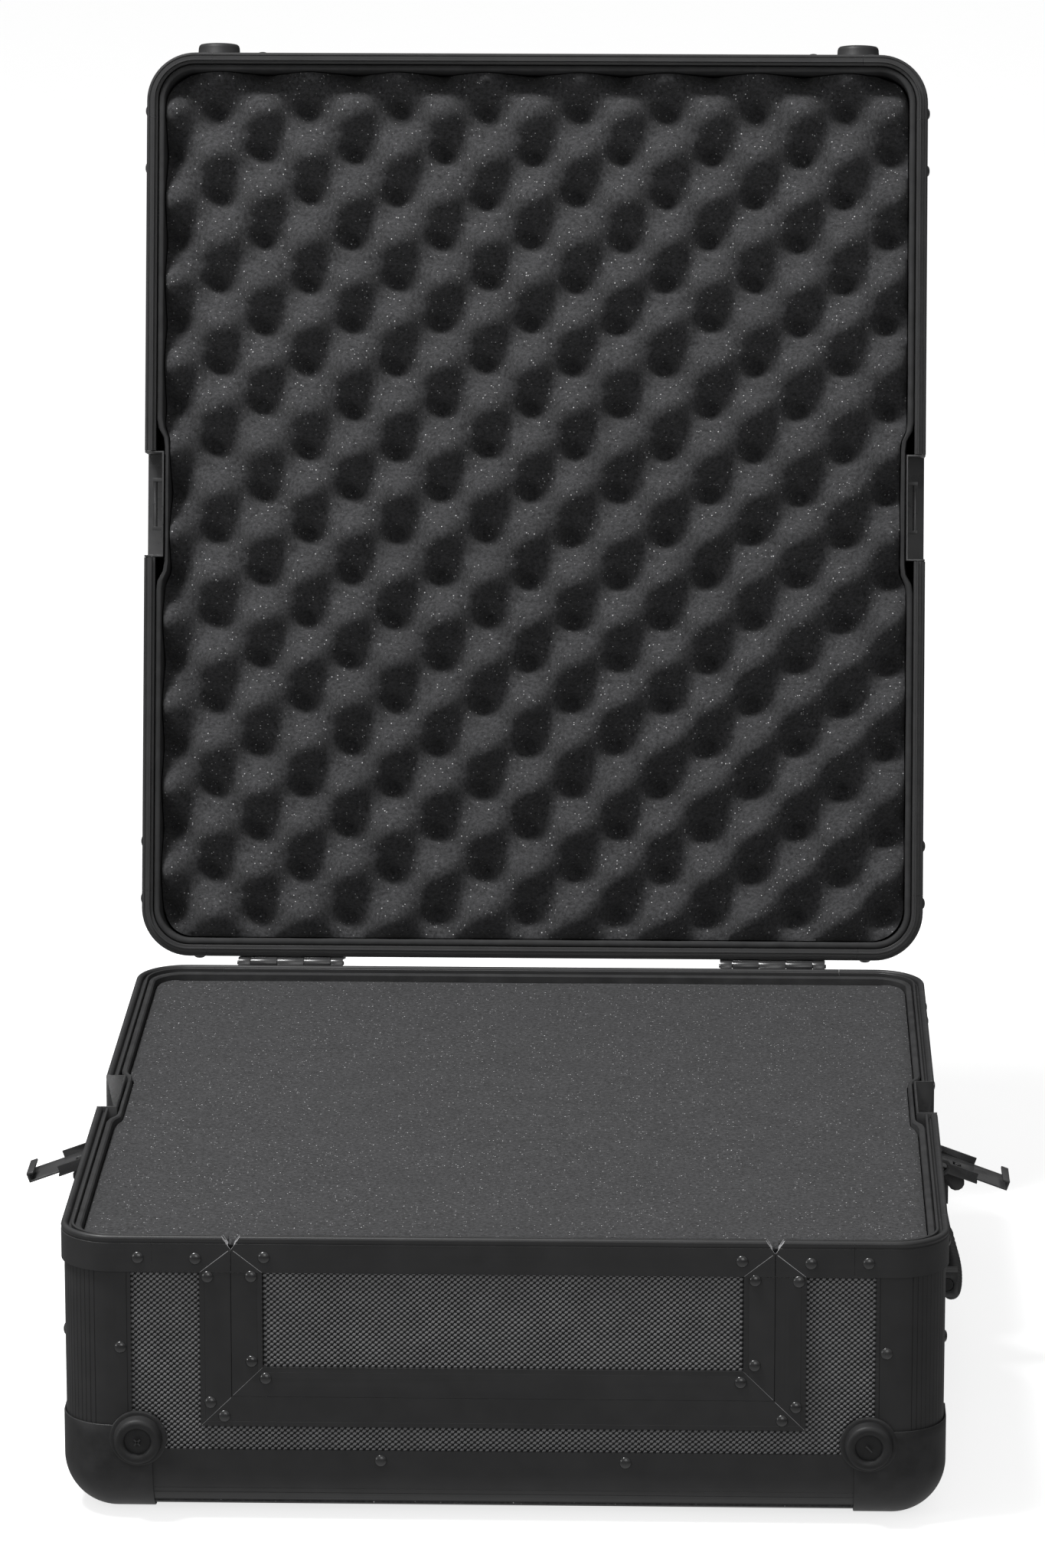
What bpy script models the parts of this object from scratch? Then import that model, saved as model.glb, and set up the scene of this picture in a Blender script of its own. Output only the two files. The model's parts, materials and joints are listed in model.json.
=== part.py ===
"""Foam-lined aluminium-edged attache case, standing open.

Frame: metres, +X to the right, +Y to the rear, +Z up. The origin is the centre of the base's
underside. A wall's own frame is (a, b, n): a runs along the wall, b is up, and n points out of
the case, with n = 0 on the outer face of the rim.
"""

import math

import bmesh
import bpy
from mathutils import Matrix, Vector

MM = 0.001
GAP = 0.3 * MM

# Driving dimensions
CASE_W = 450 * MM
CASE_D = 521 * MM
BASE_H = 150.8 * MM
LID_H = 59.7 * MM
LID_OPEN = math.radians(103.8)
LATCH_OPEN = math.radians(110)

HALF_W = CASE_W / 2
HALF_D = CASE_D / 2
LID_PLANE = BASE_H + GAP

# Edge sections: how far each layer lies in from the outer face of the rim
BALL_IN = 0.2 * MM
EDGE_IN = 1.5 * MM
SHEET = 1.2 * MM
BOARD_IN = 3.0 * MM
BOARD_T = 3.2 * MM
LINER_IN = 6.9 * MM
LINER_T = 3.5 * MM
LINER_REACH = 14.8 * MM
FOAM_R = 26 * MM
FOAM_LOW = 5.5 * MM
EDGE_R = 26.5 * MM
CORNER_R = EDGE_R + EDGE_IN
POST_LEG = 9 * MM
EDGE_LEG = 9.7 * MM
LID_EDGE_LEG = 1.8 * MM
BALL_T = 1.0 * MM
BALL_X = 47 * MM
BALL_Z = 50.5 * MM
LID_BALL_Z = 40 * MM
UNDER = 1.3 * MM
FIELD_CLEAR = 2 * MM
FIELD_DROP = 1 * MM
ARC_STEPS = 6

# Rim section
RIM_BAND = 18.8 * MM
RIM_W = 6.6 * MM
RIM_SOLID = 4.8 * MM
BOARD_TOP = BASE_H - RIM_SOLID - GAP

# Opening in the front wall
PANEL_HALF = 137 * MM
PANEL_LOW = 66.3 * MM
STRIP = 15.7 * MM
FRAME_OUT = 0.3 * MM
FRAME_LIP = 0.8 * MM
TONGUE = 6.5 * MM
SLOT_LAP = 1 * MM
OVERCUT = 5 * MM
NOTCH_W = 9.5 * MM
NOTCH_H = 7 * MM

# Latches, at mid-depth on the side walls
DISH_HALF = 30.5 * MM
DISH_DEEP = 11.2 * MM
DISH_LOW = 100.8 * MM
LID_DISH_H = 26 * MM
DISH_FLANGE = 12.5 * MM
PIVOT_Z = 118.8 * MM
PIVOT_IN = 4.5 * MM
BULGE_IN = 14.2 * MM
CHANNEL_HALF = 15 * MM
CHANNEL_LEN = 29 * MM
KEY_S = 15 * MM
HOOK_HALF = 12.6 * MM
HOOK_TIP = 45.8 * MM
CAM_ECC = 2.5 * MM

# Hinges, on the rear wall
HINGE_Y = HALF_D + 3.5 * MM
HINGE_Z = BASE_H + GAP / 2
HINGE_X = 138.7 * MM
HINGE_HALF = 30.2 * MM
KNUCKLE_R = 3 * MM
PIN_R = 1.2 * MM
KNUCKLE_EDGES = [-30.2 * MM, -23.1 * MM, -7.7 * MM, 7.7 * MM, 23.1 * MM, 30.2 * MM]

# Feet and handle
FOOT_X = 185 * MM
FOOT_Z = 43.5 * MM
LID_FOOT = 36 * MM
FOOT_H = 6.5 * MM
FOOT_R = 12.5 * MM
FOOT_TIP_R = 11 * MM
FOOT_HOLE_R = 6.5 * MM
FOOT_HOLE = 3 * MM
GRIP_R = 3.5 * MM
GRIP_AXIS_B = 73.5 * MM
GRIP_AXIS_N = 4.3 * MM
GRIP_HALF = 76 * MM
GRIP_DROP = 20 * MM
GRIP_BOW = 6.7 * MM

WALLS = {"front": (0, HALF_D), "right": (90, HALF_W), "rear": (180, HALF_D), "left": (270, HALF_W)}


# ---------------------------------------------------------------- scene and materials

def clear_scene():
    for thing in list(bpy.data.objects):
        bpy.data.objects.remove(thing, do_unlink=True)


def new_collection(name):
    group = bpy.data.collections.new(name)
    bpy.context.scene.collection.children.link(group)
    return group


def material(name, colour, roughness, metallic):
    made = bpy.data.materials.new(name)
    made.use_nodes = True
    shader = made.node_tree.nodes["Principled BSDF"]
    shader.inputs["Base Color"].default_value = (*colour, 1)
    shader.inputs["Roughness"].default_value = roughness
    shader.inputs["Metallic"].default_value = metallic
    made.diffuse_color = (*colour, 1)
    return made


def piece(name, mesh, look, frame=None, location=(0, 0, 0)):
    """A part in its own node, on the frame that carries it."""
    thing = bpy.data.objects.new(name, mesh)
    mesh.materials.append(material(name, *LOOKS[look]))
    thing.parent = frame
    thing.location = location
    PARTS.objects.link(thing)
    return thing


def tool(target, mesh, operation):
    """A helper solid that is joined to the target or cut out of it."""
    helper = bpy.data.objects.new(target.name + "_tool", mesh)
    helper.parent = target.parent
    helper.location = target.location
    helper.display_type = "WIRE"
    helper.hide_render = True
    CUTTERS.objects.link(helper)
    step = target.modifiers.new(operation.title(), "BOOLEAN")
    step.operation = operation
    step.solver = "EXACT"
    step.object = helper


def join(target, *meshes):
    for mesh in meshes:
        tool(target, mesh, "UNION")


def cut(target, *meshes):
    for mesh in meshes:
        tool(target, mesh, "DIFFERENCE")


def empty(name, matrix, parent=None):
    frame = bpy.data.objects.new(name, None)
    frame.parent = parent
    frame.matrix_local = matrix
    PARTS.objects.link(frame)
    return frame


# ---------------------------------------------------------------- basic solids

def block(low, high, matrix=None):
    """A box between two corners."""
    low, high = Vector(low), Vector(high)
    work = bmesh.new()
    size = Matrix.Diagonal((*(high - low), 1))
    bmesh.ops.create_cube(work, size=1, matrix=Matrix.Translation((low + high) / 2) @ size)
    return finish(work, "block", matrix)


def rod(start, end, radius, sides=16, end_radius=None, matrix=None):
    """A cylinder, or a cone, between two points."""
    start, end = Vector(start), Vector(end)
    turn = (end - start).to_track_quat("Z", "Y").to_matrix().to_4x4()
    work = bmesh.new()
    bmesh.ops.create_cone(
        work, cap_ends=True, segments=sides, radius1=radius,
        radius2=radius if end_radius is None else end_radius, depth=(end - start).length,
        matrix=Matrix.Translation((start + end) / 2) @ turn)
    return finish(work, "rod", matrix)


def finish(work, name, matrix=None):
    if matrix is not None:
        bmesh.ops.transform(work, matrix=matrix, verts=work.verts)
    mesh = bpy.data.meshes.new(name)
    work.to_mesh(mesh)
    work.free()
    return mesh


def curve_mesh(curve, matrix=None):
    """The closed mesh of a curve object, with its caps welded on."""
    holder = bpy.data.objects.new("outline", curve)
    CUTTERS.objects.link(holder)
    graph = bpy.context.evaluated_depsgraph_get()
    raw = bpy.data.meshes.new_from_object(holder.evaluated_get(graph))
    bpy.data.objects.remove(holder)
    work = bmesh.new()
    work.from_mesh(raw)
    bmesh.ops.remove_doubles(work, verts=work.verts, dist=0.01 * MM)
    bmesh.ops.recalc_face_normals(work, faces=work.faces)
    return finish(work, "outline", matrix)


def add_spline(curve, points, cyclic=True):
    spline = curve.splines.new("POLY")
    spline.points.add(len(points) - 1)
    for point, place in zip(spline.points, points):
        point.co = (*place, 0, 1) if len(place) == 2 else (*place, 1)
    spline.use_cyclic_u = cyclic
    return spline


def prism(outlines, low, high, matrix=None):
    """Flat outlines, the later ones being holes, extruded from low to high."""
    curve = bpy.data.curves.new("outline", "CURVE")
    curve.dimensions = "2D"
    curve.fill_mode = "BOTH"
    curve.extrude = (high - low) / 2
    for outline in outlines:
        add_spline(curve, outline)
    shift = Matrix.Translation((0, 0, (low + high) / 2))
    return curve_mesh(curve, shift if matrix is None else matrix @ shift)


def sweep(path, profile):
    """A closed profile of (inset, height) points carried along an open path."""
    section = bpy.data.curves.new("section", "CURVE")
    section.dimensions = "2D"
    add_spline(section, [(-inset, height) for inset, height in profile])
    holder = bpy.data.objects.new("section", section)
    CUTTERS.objects.link(holder)
    curve = bpy.data.curves.new("path", "CURVE")
    curve.dimensions = "2D"
    curve.fill_mode = "NONE"
    curve.bevel_mode = "OBJECT"
    curve.bevel_object = holder
    curve.use_fill_caps = True
    add_spline(curve, path, cyclic=False)
    mesh = curve_mesh(curve)
    bpy.data.objects.remove(holder)
    return mesh


# ---------------------------------------------------------------- outlines

def arc(centre, radius, start, end, steps=ARC_STEPS):
    """Points on an arc, angles in degrees."""
    angles = [math.radians(start + (end - start) * i / steps) for i in range(steps + 1)]
    return [(centre[0] + radius * math.cos(t), centre[1] + radius * math.sin(t)) for t in angles]


def round_rect(half_a, half_b, radius, steps=ARC_STEPS):
    points = []
    for turn, side_a, side_b in ((0, 1, 1), (90, -1, 1), (180, -1, -1), (270, 1, -1)):
        centre = (side_a * (half_a - radius), side_b * (half_b - radius))
        points += arc(centre, radius, turn, turn + 90, steps)
    return points


def plan_ring(inset_out, inset_in):
    """The case's plan outline at two insets, as a ring."""
    return [round_rect(HALF_W - inset, HALF_D - inset, CORNER_R - inset)
            for inset in (inset_out, inset_in)]


def rect(low_a, low_b, high_a, high_b):
    return [(low_a, low_b), (high_a, low_b), (high_a, high_b), (low_a, high_b)]


def wall_matrix(side):
    turn, half = WALLS[side]
    upright = Matrix.Translation((0, -half, 0)) @ Matrix.Rotation(math.radians(90), 4, "X")
    return Matrix.Rotation(math.radians(turn), 4, "Z") @ upright


def wall_plate(outlines, inset_out, inset_in, side):
    return prism(outlines, -inset_in, -inset_out, wall_matrix(side))


# ---------------------------------------------------------------- rims

def rim_profile():
    """The base rim's section: outer band, rounded bead, groove and lip."""
    bead = arc((1.8 * MM, BASE_H - 1.9 * MM), 1.8 * MM, 180, 0, 6)
    bead = [(inset, z + 0.1 * MM) for inset, z in bead]
    groove = [(3.6 * MM, BASE_H - 3 * MM), (5.3 * MM, BASE_H - 3 * MM)]
    lip = [(5.3 * MM, BASE_H - 0.7 * MM), (RIM_W, BASE_H - 0.7 * MM), (RIM_W, BASE_H - RIM_SOLID)]
    band = [(SHEET, BASE_H - RIM_SOLID), (SHEET, BASE_H - RIM_BAND), (0, BASE_H - RIM_BAND)]
    return bead + groove + lip + band


def lid_rim_profile():
    """The lid rim's section: outer band, flat face and a tongue that enters the base's groove."""
    z = LID_PLANE
    face = [(0, z + RIM_BAND), (0, z + 0.8 * MM), (0.8 * MM, z)]
    tongue = [(3.9 * MM, z), (4.0 * MM, z - 2.2 * MM), (4.9 * MM, z - 2.2 * MM), (5.0 * MM, z)]
    inner = [(RIM_W, z), (RIM_W, z + RIM_SOLID), (SHEET, z + RIM_SOLID), (SHEET, z + RIM_BAND)]
    return face + tongue + inner


def corner(side_x, side_y):
    """Outer arc of a corner in plan, counter-clockwise."""
    turn = {(1, -1): 270, (1, 1): 0, (-1, 1): 90, (-1, -1): 180}[side_x, side_y]
    centre = (side_x * (HALF_W - CORNER_R), side_y * (HALF_D - CORNER_R))
    return arc(centre, CORNER_R, turn, turn + 90)


def rear_path():
    end = DISH_HALF + GAP
    return [(HALF_W, end)] + corner(1, 1) + corner(-1, 1) + [(-HALF_W, end)]


def front_path(side):
    """From the latch round the front corner to the joint with the front panel."""
    end, joint = DISH_HALF + GAP, PANEL_HALF + GAP
    if side > 0:
        return [(joint, -HALF_D)] + corner(1, -1) + [(HALF_W, -end)]
    return [(-HALF_W, -end)] + corner(-1, -1) + [(-joint, -HALF_D)]


def notch(side):
    """The V cut where the panel's rim meets the case's rim."""
    middle, half = side * PANEL_HALF, NOTCH_W / 2
    top, low = BASE_H + 1 * MM, BASE_H - NOTCH_H
    spread = half * (top - low) / NOTCH_H
    return wall_plate([[(middle, low), (middle + spread, top), (middle - spread, top)]],
                      -2 * MM, RIM_W + 2 * MM, "front")


def tongue_slot(side):
    """The slot at a front rim's end that lets the panel's tongue slide up through it."""
    near, far = sorted((side * (PANEL_HALF - SLOT_LAP), side * (PANEL_HALF + TONGUE + GAP)))
    return wall_plate([rect(near, BASE_H - RIM_BAND - OVERCUT, far, BASE_H + OVERCUT)],
                      SHEET - 0.1 * MM, BOARD_IN, "front")


# ---------------------------------------------------------------- base

def base_boards():
    """Wall boards, and a bottom board whose middle drops lower between the ball corners."""
    half_a = {"front": HALF_W, "rear": HALF_W, "left": HALF_D, "right": HALF_D}
    low = UNDER + EDGE_R + GAP
    inner = BOARD_IN + BOARD_T
    for side in WALLS:
        half = half_a[side] - CORNER_R - GAP
        outline = rect(-half, low, half, BOARD_TOP)
        if side == "front":
            outline = wall_with_gap(half, low, PANEL_HALF + 4.5 * MM, PANEL_LOW - 3 * MM)
        if side in ("left", "right"):
            outline = wall_with_gap(half, low, DISH_HALF + GAP, DISH_LOW - GAP)
        mesh = wall_plate([outline], BOARD_IN, inner, side)
        piece(f"base_{side}_board", mesh, "laminate")
    half_x, half_y = HALF_W - CORNER_R - GAP, HALF_D - CORNER_R - GAP
    under = UNDER + SHEET + GAP
    mesh = block((-half_x, -half_y, under), (half_x, half_y, under + BOARD_T))
    board = piece("base_bottom_board", mesh, "laminate")
    field_x, field_y = HALF_W - BALL_X - FIELD_CLEAR, HALF_D - BALL_X - FIELD_CLEAR
    join(board, block((-field_x, -field_y, under - FIELD_DROP),
                      (field_x, field_y, under + BOARD_T / 2)))


def wall_with_gap(half, low, gap_half, gap_low):
    """A wall's outline with a gap in its top edge."""
    return [(-half, low), (half, low), (half, BOARD_TOP), (gap_half, BOARD_TOP),
            (gap_half, gap_low), (-gap_half, gap_low), (-gap_half, BOARD_TOP), (-half, BOARD_TOP)]


def quarter_section(leg):
    """A rounded edge's section about its arc centre, bulging to -a and -b."""
    outer = arc((0, 0), EDGE_R, 270, 180)
    inner = arc((0, 0), EDGE_R - SHEET, 180, 270)
    return [(leg, -EDGE_R)] + outer + [(-EDGE_R, leg), (-EDGE_R + SHEET, leg)] + inner \
        + [(leg, -EDGE_R + SHEET)]


def base_edges():
    for side, (turn, half) in WALLS.items():
        other = HALF_W if side in ("front", "rear") else HALF_D
        length = other - CORNER_R - EDGE_LEG - GAP
        centre = Matrix.Translation((0, -half + CORNER_R, UNDER + EDGE_R))
        lay = Matrix(((0, 0, 1, 0), (1, 0, 0, 0), (0, 1, 0, 0), (0, 0, 0, 1)))
        matrix = Matrix.Rotation(math.radians(turn), 4, "Z") @ centre @ lay
        mesh = prism([quarter_section(EDGE_LEG)], -length, length, matrix)
        piece(f"base_edge_{side}", mesh, "extrusion")


def corner_name(side_x, side_y):
    return ("front" if side_y < 0 else "rear") + "_" + ("left" if side_x < 0 else "right")


CORNERS = {(-1, -1): 0, (1, -1): 90, (1, 1): 180, (-1, 1): 270}


def corner_posts():
    low = UNDER + EDGE_R + EDGE_LEG + GAP
    for (side_x, side_y), turn in CORNERS.items():
        place = Matrix.Translation((side_x * (HALF_W - CORNER_R), side_y * (HALF_D - CORNER_R), 0))
        turned = place @ Matrix.Rotation(math.radians(turn), 4, "Z")
        mesh = prism([quarter_section(POST_LEG)], low, BOARD_TOP, turned)
        piece(f"corner_post_{corner_name(side_x, side_y)}", mesh, "extrusion")


def ball_shell(height, up):
    """A pressed corner cap at the origin, its outer faces on x = 0, y = 0 and z = 0."""
    work = bmesh.new()
    size = Matrix.Diagonal((BALL_X, BALL_X, height, 1))
    middle = Matrix.Translation((BALL_X / 2, BALL_X / 2, height / 2))
    bmesh.ops.create_cube(work, size=1, matrix=middle @ size)
    inner = [face for face in work.faces if face.normal.dot(Vector((1, 1, 1))) > 0]
    bmesh.ops.delete(work, geom=inner, context="FACES")
    edges = [edge for edge in work.edges if len(edge.link_faces) == 2]
    bmesh.ops.bevel(work, geom=edges, offset=CORNER_R - BALL_IN, segments=ARC_STEPS,
                    profile=0.5, affect="EDGES", clamp_overlap=False)
    if not up:
        bmesh.ops.scale(work, vec=(1, 1, -1), verts=work.verts)
        bmesh.ops.reverse_faces(work, faces=work.faces)
    return finish(work, "ball_shell")


def ball_corner(name, side_x, side_y, z, height, frame=None, location=(0, 0, 0)):
    turn = math.radians(CORNERS[side_x, side_y])
    corner_x, corner_y = side_x * (HALF_W - BALL_IN), side_y * (HALF_D - BALL_IN)
    mesh = ball_shell(height, frame is None)
    mesh.transform(Matrix.Translation((corner_x, corner_y, z)) @ Matrix.Rotation(turn, 4, "Z"))
    mesh.shade_smooth()
    mesh.set_sharp_from_angle(angle=math.radians(40))
    thing = piece(name, mesh, "steel", frame, location)
    shell = thing.modifiers.new("Sheet", "SOLIDIFY")
    shell.thickness = BALL_T
    shell.offset = -1
    shell.use_even_offset = True


def base_rims():
    profile = rim_profile()
    piece("base_rim_rear", sweep(rear_path(), profile), "extrusion")
    for side, name in ((-1, "left"), (1, "right")):
        rim = piece(f"base_rim_front_{name}", sweep(front_path(side), profile), "extrusion")
        cut(rim, notch(side), tongue_slot(side))


def strip_u(half_out, half_in, low, inner_low, top):
    """A U of strips: two uprights and the bottom one."""
    return [(-half_out, low), (half_out, low), (half_out, top), (half_in, top),
            (half_in, inner_low), (-half_in, inner_low), (-half_in, top), (-half_out, top)]


def opening_frame():
    """Fixed strips round the front opening: a lip in front of the panel's tongue."""
    half_in, low_in = PANEL_HALF + GAP, PANEL_LOW - GAP
    half_out, low = PANEL_HALF + 16 * MM, PANEL_LOW - 15.8 * MM
    top = BASE_H - RIM_BAND - GAP
    lip = wall_plate([strip_u(half_out, half_in, low, low_in, top)],
                     FRAME_OUT, FRAME_OUT + FRAME_LIP, "front")
    frame = piece("opening_frame", lip, "extrusion")
    seat_in, seat_low = PANEL_HALF + TONGUE + GAP, PANEL_LOW - TONGUE - GAP
    join(frame, wall_plate([strip_u(half_out, seat_in, low, seat_low, top)],
                           FRAME_OUT + FRAME_LIP / 2, BOARD_IN - GAP, "front"))


def front_panel(frame):
    window = rect(-(PANEL_HALF - STRIP), PANEL_LOW + STRIP,
                  PANEL_HALF - STRIP, BASE_H - RIM_BAND - GAP)
    top = BASE_H - RIM_SOLID / 2
    face = wall_plate([rect(-PANEL_HALF, PANEL_LOW, PANEL_HALF, top), window],
                      FRAME_OUT, BOARD_IN - GAP, "front")
    strips = piece("front_panel_frame", face, "extrusion", frame)
    reach = PANEL_HALF + TONGUE
    hole = PANEL_HALF - STRIP + 2 * MM
    tongue = wall_plate([strip_u(reach, hole, PANEL_LOW - TONGUE, PANEL_LOW + STRIP - 2 * MM,
                                 BASE_H - RIM_BAND - 2 * MM)],
                        FRAME_OUT + FRAME_LIP + GAP, BOARD_IN - 1.5 * GAP, "front")
    rim_half = PANEL_HALF - 0.1 * MM
    path = [(-rim_half, -HALF_D), (rim_half, -HALF_D)]
    join(strips, tongue, sweep(path, rim_profile()))
    cut(strips, notch(-1), notch(1))
    board = wall_plate([rect(-PANEL_HALF, PANEL_LOW - 2.5 * MM, PANEL_HALF, BOARD_TOP)],
                       BOARD_IN, BOARD_IN + BOARD_T, "front")
    panel = piece("front_panel_board", board, "laminate", frame)
    half, low, high = PANEL_HALF - STRIP - GAP, PANEL_LOW + STRIP + GAP, BASE_H - RIM_BAND - 2 * GAP
    join(panel, wall_plate([rect(-half, low, half, high)], FRAME_OUT + 1.4 * MM,
                           BOARD_IN + BOARD_T / 2, "front"))


def dish_outline(low, high):
    return rect(-DISH_HALF, low, DISH_HALF, high)


def latch_dish(side):
    """The base's recessed dish, open on its outer face and at the rim, with the pivot pin."""
    flange_half = DISH_HALF + DISH_FLANGE
    tub_out = 0.3 * MM
    plate = wall_plate([rect(-flange_half, DISH_LOW - DISH_FLANGE, flange_half,
                             BASE_H - RIM_BAND - GAP)], EDGE_IN, BOARD_IN - GAP, side)
    dish = piece(f"latch_dish_{side}", plate, "steel")
    join(dish, wall_plate([dish_outline(DISH_LOW, BASE_H)], tub_out, DISH_DEEP, side))
    cut(dish, wall_plate([rect(-DISH_HALF + 1 * MM, DISH_LOW + 1 * MM, DISH_HALF - 1 * MM,
                               BASE_H + 5 * MM)], -5 * MM, DISH_DEEP - 1 * MM, side))
    pin = (PIVOT_Z, -PIVOT_IN)
    join(dish, rod((-DISH_HALF + 0.5 * MM, *pin), (DISH_HALF - 0.5 * MM, *pin), 1.3 * MM,
                   12, matrix=wall_matrix(side)))


def keeper_dish(side, frame, location):
    """The lid's dish, open on its outer face and at the rim, with the bar for the hook."""
    high = LID_PLANE + LID_DISH_H
    mesh = wall_plate([dish_outline(LID_PLANE, high)], 0.3 * MM, DISH_DEEP, side)
    dish = piece(f"lid_keeper_{side}", mesh, "steel", frame, location)
    flange_half = DISH_HALF + DISH_FLANGE
    flange_low = LID_PLANE + RIM_BAND + GAP
    flange_high = LID_PLANE + LID_H - UNDER - EDGE_R - LID_EDGE_LEG - GAP
    join(dish, wall_plate([rect(-flange_half, flange_low, flange_half, flange_high)],
                          EDGE_IN, BOARD_IN - GAP, side))
    cut(dish, wall_plate([rect(-DISH_HALF + 1 * MM, LID_PLANE - 5 * MM, DISH_HALF - 1 * MM,
                               high - 1 * MM)], -5 * MM, DISH_DEEP - 1 * MM, side))
    bar_z, bar_in = LID_PLANE + 5.7 * MM, 6.0 * MM
    blocks = [block((s * 14 * MM - 1 * MM, bar_z - 1.5 * MM, -DISH_DEEP + 0.5 * MM),
                    (s * 14 * MM + 1 * MM, bar_z + 1.5 * MM, -bar_in + 1.5 * MM),
                    wall_matrix(side)) for s in (-1, 1)]
    bar = rod((-14.5 * MM, bar_z, -bar_in), (14.5 * MM, bar_z, -bar_in), 1.3 * MM, 12,
              matrix=wall_matrix(side))
    join(dish, *blocks, bar)


def liner_solid(name, low, high, dish_low, dish_high, frame=None, location=(0, 0, 0)):
    """Thin sheet round the inside, bulged inwards behind the latch dishes."""
    liner = piece(name, prism(plan_ring(LINER_IN, LINER_IN + LINER_T), low, high),
                  "liner", frame, location)
    half = DISH_HALF + 5 * MM
    for side in ("left", "right"):
        join(liner, wall_plate([rect(-half, max(low, dish_low - 5 * MM), half,
                                     min(high, dish_high + 5 * MM))],
                               LINER_IN + LINER_T / 2, BULGE_IN, side))
        cut(liner, wall_plate([rect(-DISH_HALF - GAP, dish_low - GAP, DISH_HALF + GAP,
                                    dish_high + GAP)], 0, DISH_DEEP + GAP, side))
    return liner


def foam_block(name, seat, face, frame=None, location=(0, 0, 0)):
    """A foam block from its seat to its face, stepped in where the case's edges round off."""
    half_x, half_y = HALF_W - BULGE_IN - 0.4 * MM, HALF_D - LINER_IN - LINER_T - 1 * MM
    step = math.copysign(4 * MM, face - seat)
    outline = round_rect(half_x, half_y, FOAM_R)
    foam = piece(name, prism([outline], *sorted((seat + step, face))), "foam", frame, location)
    foot = round_rect(half_x - 7 * MM, half_y - 7 * MM, FOAM_R)
    join(foam, prism([foot], *sorted((seat, seat + 1.2 * step))))


def base_soft_parts():
    floor = UNDER + SHEET + GAP + BOARD_T + GAP
    liner = liner_solid("base_liner", LINER_REACH, BASE_H - 2.2 * MM, DISH_LOW, BASE_H + 5 * MM)
    half = PANEL_HALF + 1.5 * MM
    cut(liner, wall_plate([rect(-half, PANEL_LOW, half, BASE_H + 5 * MM)], 0, 20 * MM, "front"))
    foam_block("base_foam", floor, BASE_H - FOAM_LOW)


def foot(name, x, z, frame=None, location=(0, 0, 0)):
    matrix = wall_matrix("front")
    top = GAP + FOOT_H
    mesh = rod((x, z, GAP), (x, z, top), FOOT_R, 24, FOOT_TIP_R, matrix)
    thing = piece(name, mesh, "rubber", frame, location)
    cut(thing, rod((x, z, top - FOOT_HOLE), (x, z, top + FOOT_HOLE), FOOT_HOLE_R, 16,
                   matrix=matrix))


# ---------------------------------------------------------------- hinges

def hinge_leaf(name, x, kind, frame=None, location=(0, 0, 0)):
    """One leaf: the base carries knuckles 1, 3 and 5, the lid 2 and 4."""
    up = 1 if kind == "lid" else -1
    y_in, y_out = HALF_D + GAP, HALF_D + GAP + SHEET
    clear = (KNUCKLE_R + GAP) * up
    far = 31 * MM * up
    low, high = sorted((HINGE_Z + clear, HINGE_Z + far))
    leaf = piece(name, block((x - HINGE_HALF, y_in, low), (x + HINGE_HALF, y_out, high)),
                 "steel", frame, location)
    for k in range(1 if kind == "lid" else 0, 5, 2):
        start = x + KNUCKLE_EDGES[k] + GAP / 2
        end = x + KNUCKLE_EDGES[k + 1] - GAP / 2
        low, high = sorted((HINGE_Z, HINGE_Z + clear + 1 * MM * up))
        join(leaf, block((start, y_in, low), (end, HALF_D + 1.9 * MM, high)))
        join(leaf, rod((start, HINGE_Y, HINGE_Z), (end, HINGE_Y, HINGE_Z), KNUCKLE_R, 16))
    cut(leaf, rod((x - 2 * HINGE_HALF, HINGE_Y, HINGE_Z), (x + 2 * HINGE_HALF, HINGE_Y, HINGE_Z),
                  PIN_R + GAP, 12))


def hinge_pin(name, x):
    reach = HINGE_HALF + 0.6 * MM
    piece(name, rod((x - reach, HINGE_Y, HINGE_Z), (x + reach, HINGE_Y, HINGE_Z), PIN_R, 12),
          "steel")


# ---------------------------------------------------------------- latches

def latch(side):
    """The swinging latch, modelled in (a, s, n) about its pivot: s runs along the body."""
    pivot = wall_matrix(side) @ Matrix.Translation((0, PIVOT_Z, -PIVOT_IN))
    swing = empty(f"latch_{side}_swing", pivot @ Matrix.Rotation(LATCH_OPEN, 4, "X"))
    latch_channel(side, swing)
    latch_hook(side, swing)
    key_turn = empty(f"latch_{side}_turn", Matrix.Translation((0, KEY_S, 0)), swing)
    hub = piece(f"latch_key_{side}", rod((0, 0, 2.7 * MM), (0, 0, 3.7 * MM), 4.5 * MM, 20),
                "steel", key_turn)
    cam = (0, CAM_ECC)
    join(hub, rod((0, 0, 1.25 * MM), (0, 0, 3 * MM), 4.2 * MM, 20),
         rod((*cam, -0.6 * MM), (*cam, 1.6 * MM), 1.5 * MM, 12))
    wing_fold = empty(f"latch_{side}_fold", Matrix.Translation((0, 0, 4.5 * MM)), key_turn)
    lobes = arc((-5.5 * MM, 5 * MM), 4.5 * MM, 270, 45, 8) + arc((5.5 * MM, 5 * MM), 4.5 * MM,
                                                                135, -90, 8)
    upright = Matrix(((0, 0, 1, 0), (1, 0, 0, 0), (0, 1, 0, 0), (0, 0, 0, 1)))
    piece(f"latch_wing_{side}", prism([lobes], -0.5 * MM, 0.5 * MM, upright), "steel", wing_fold)


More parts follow.
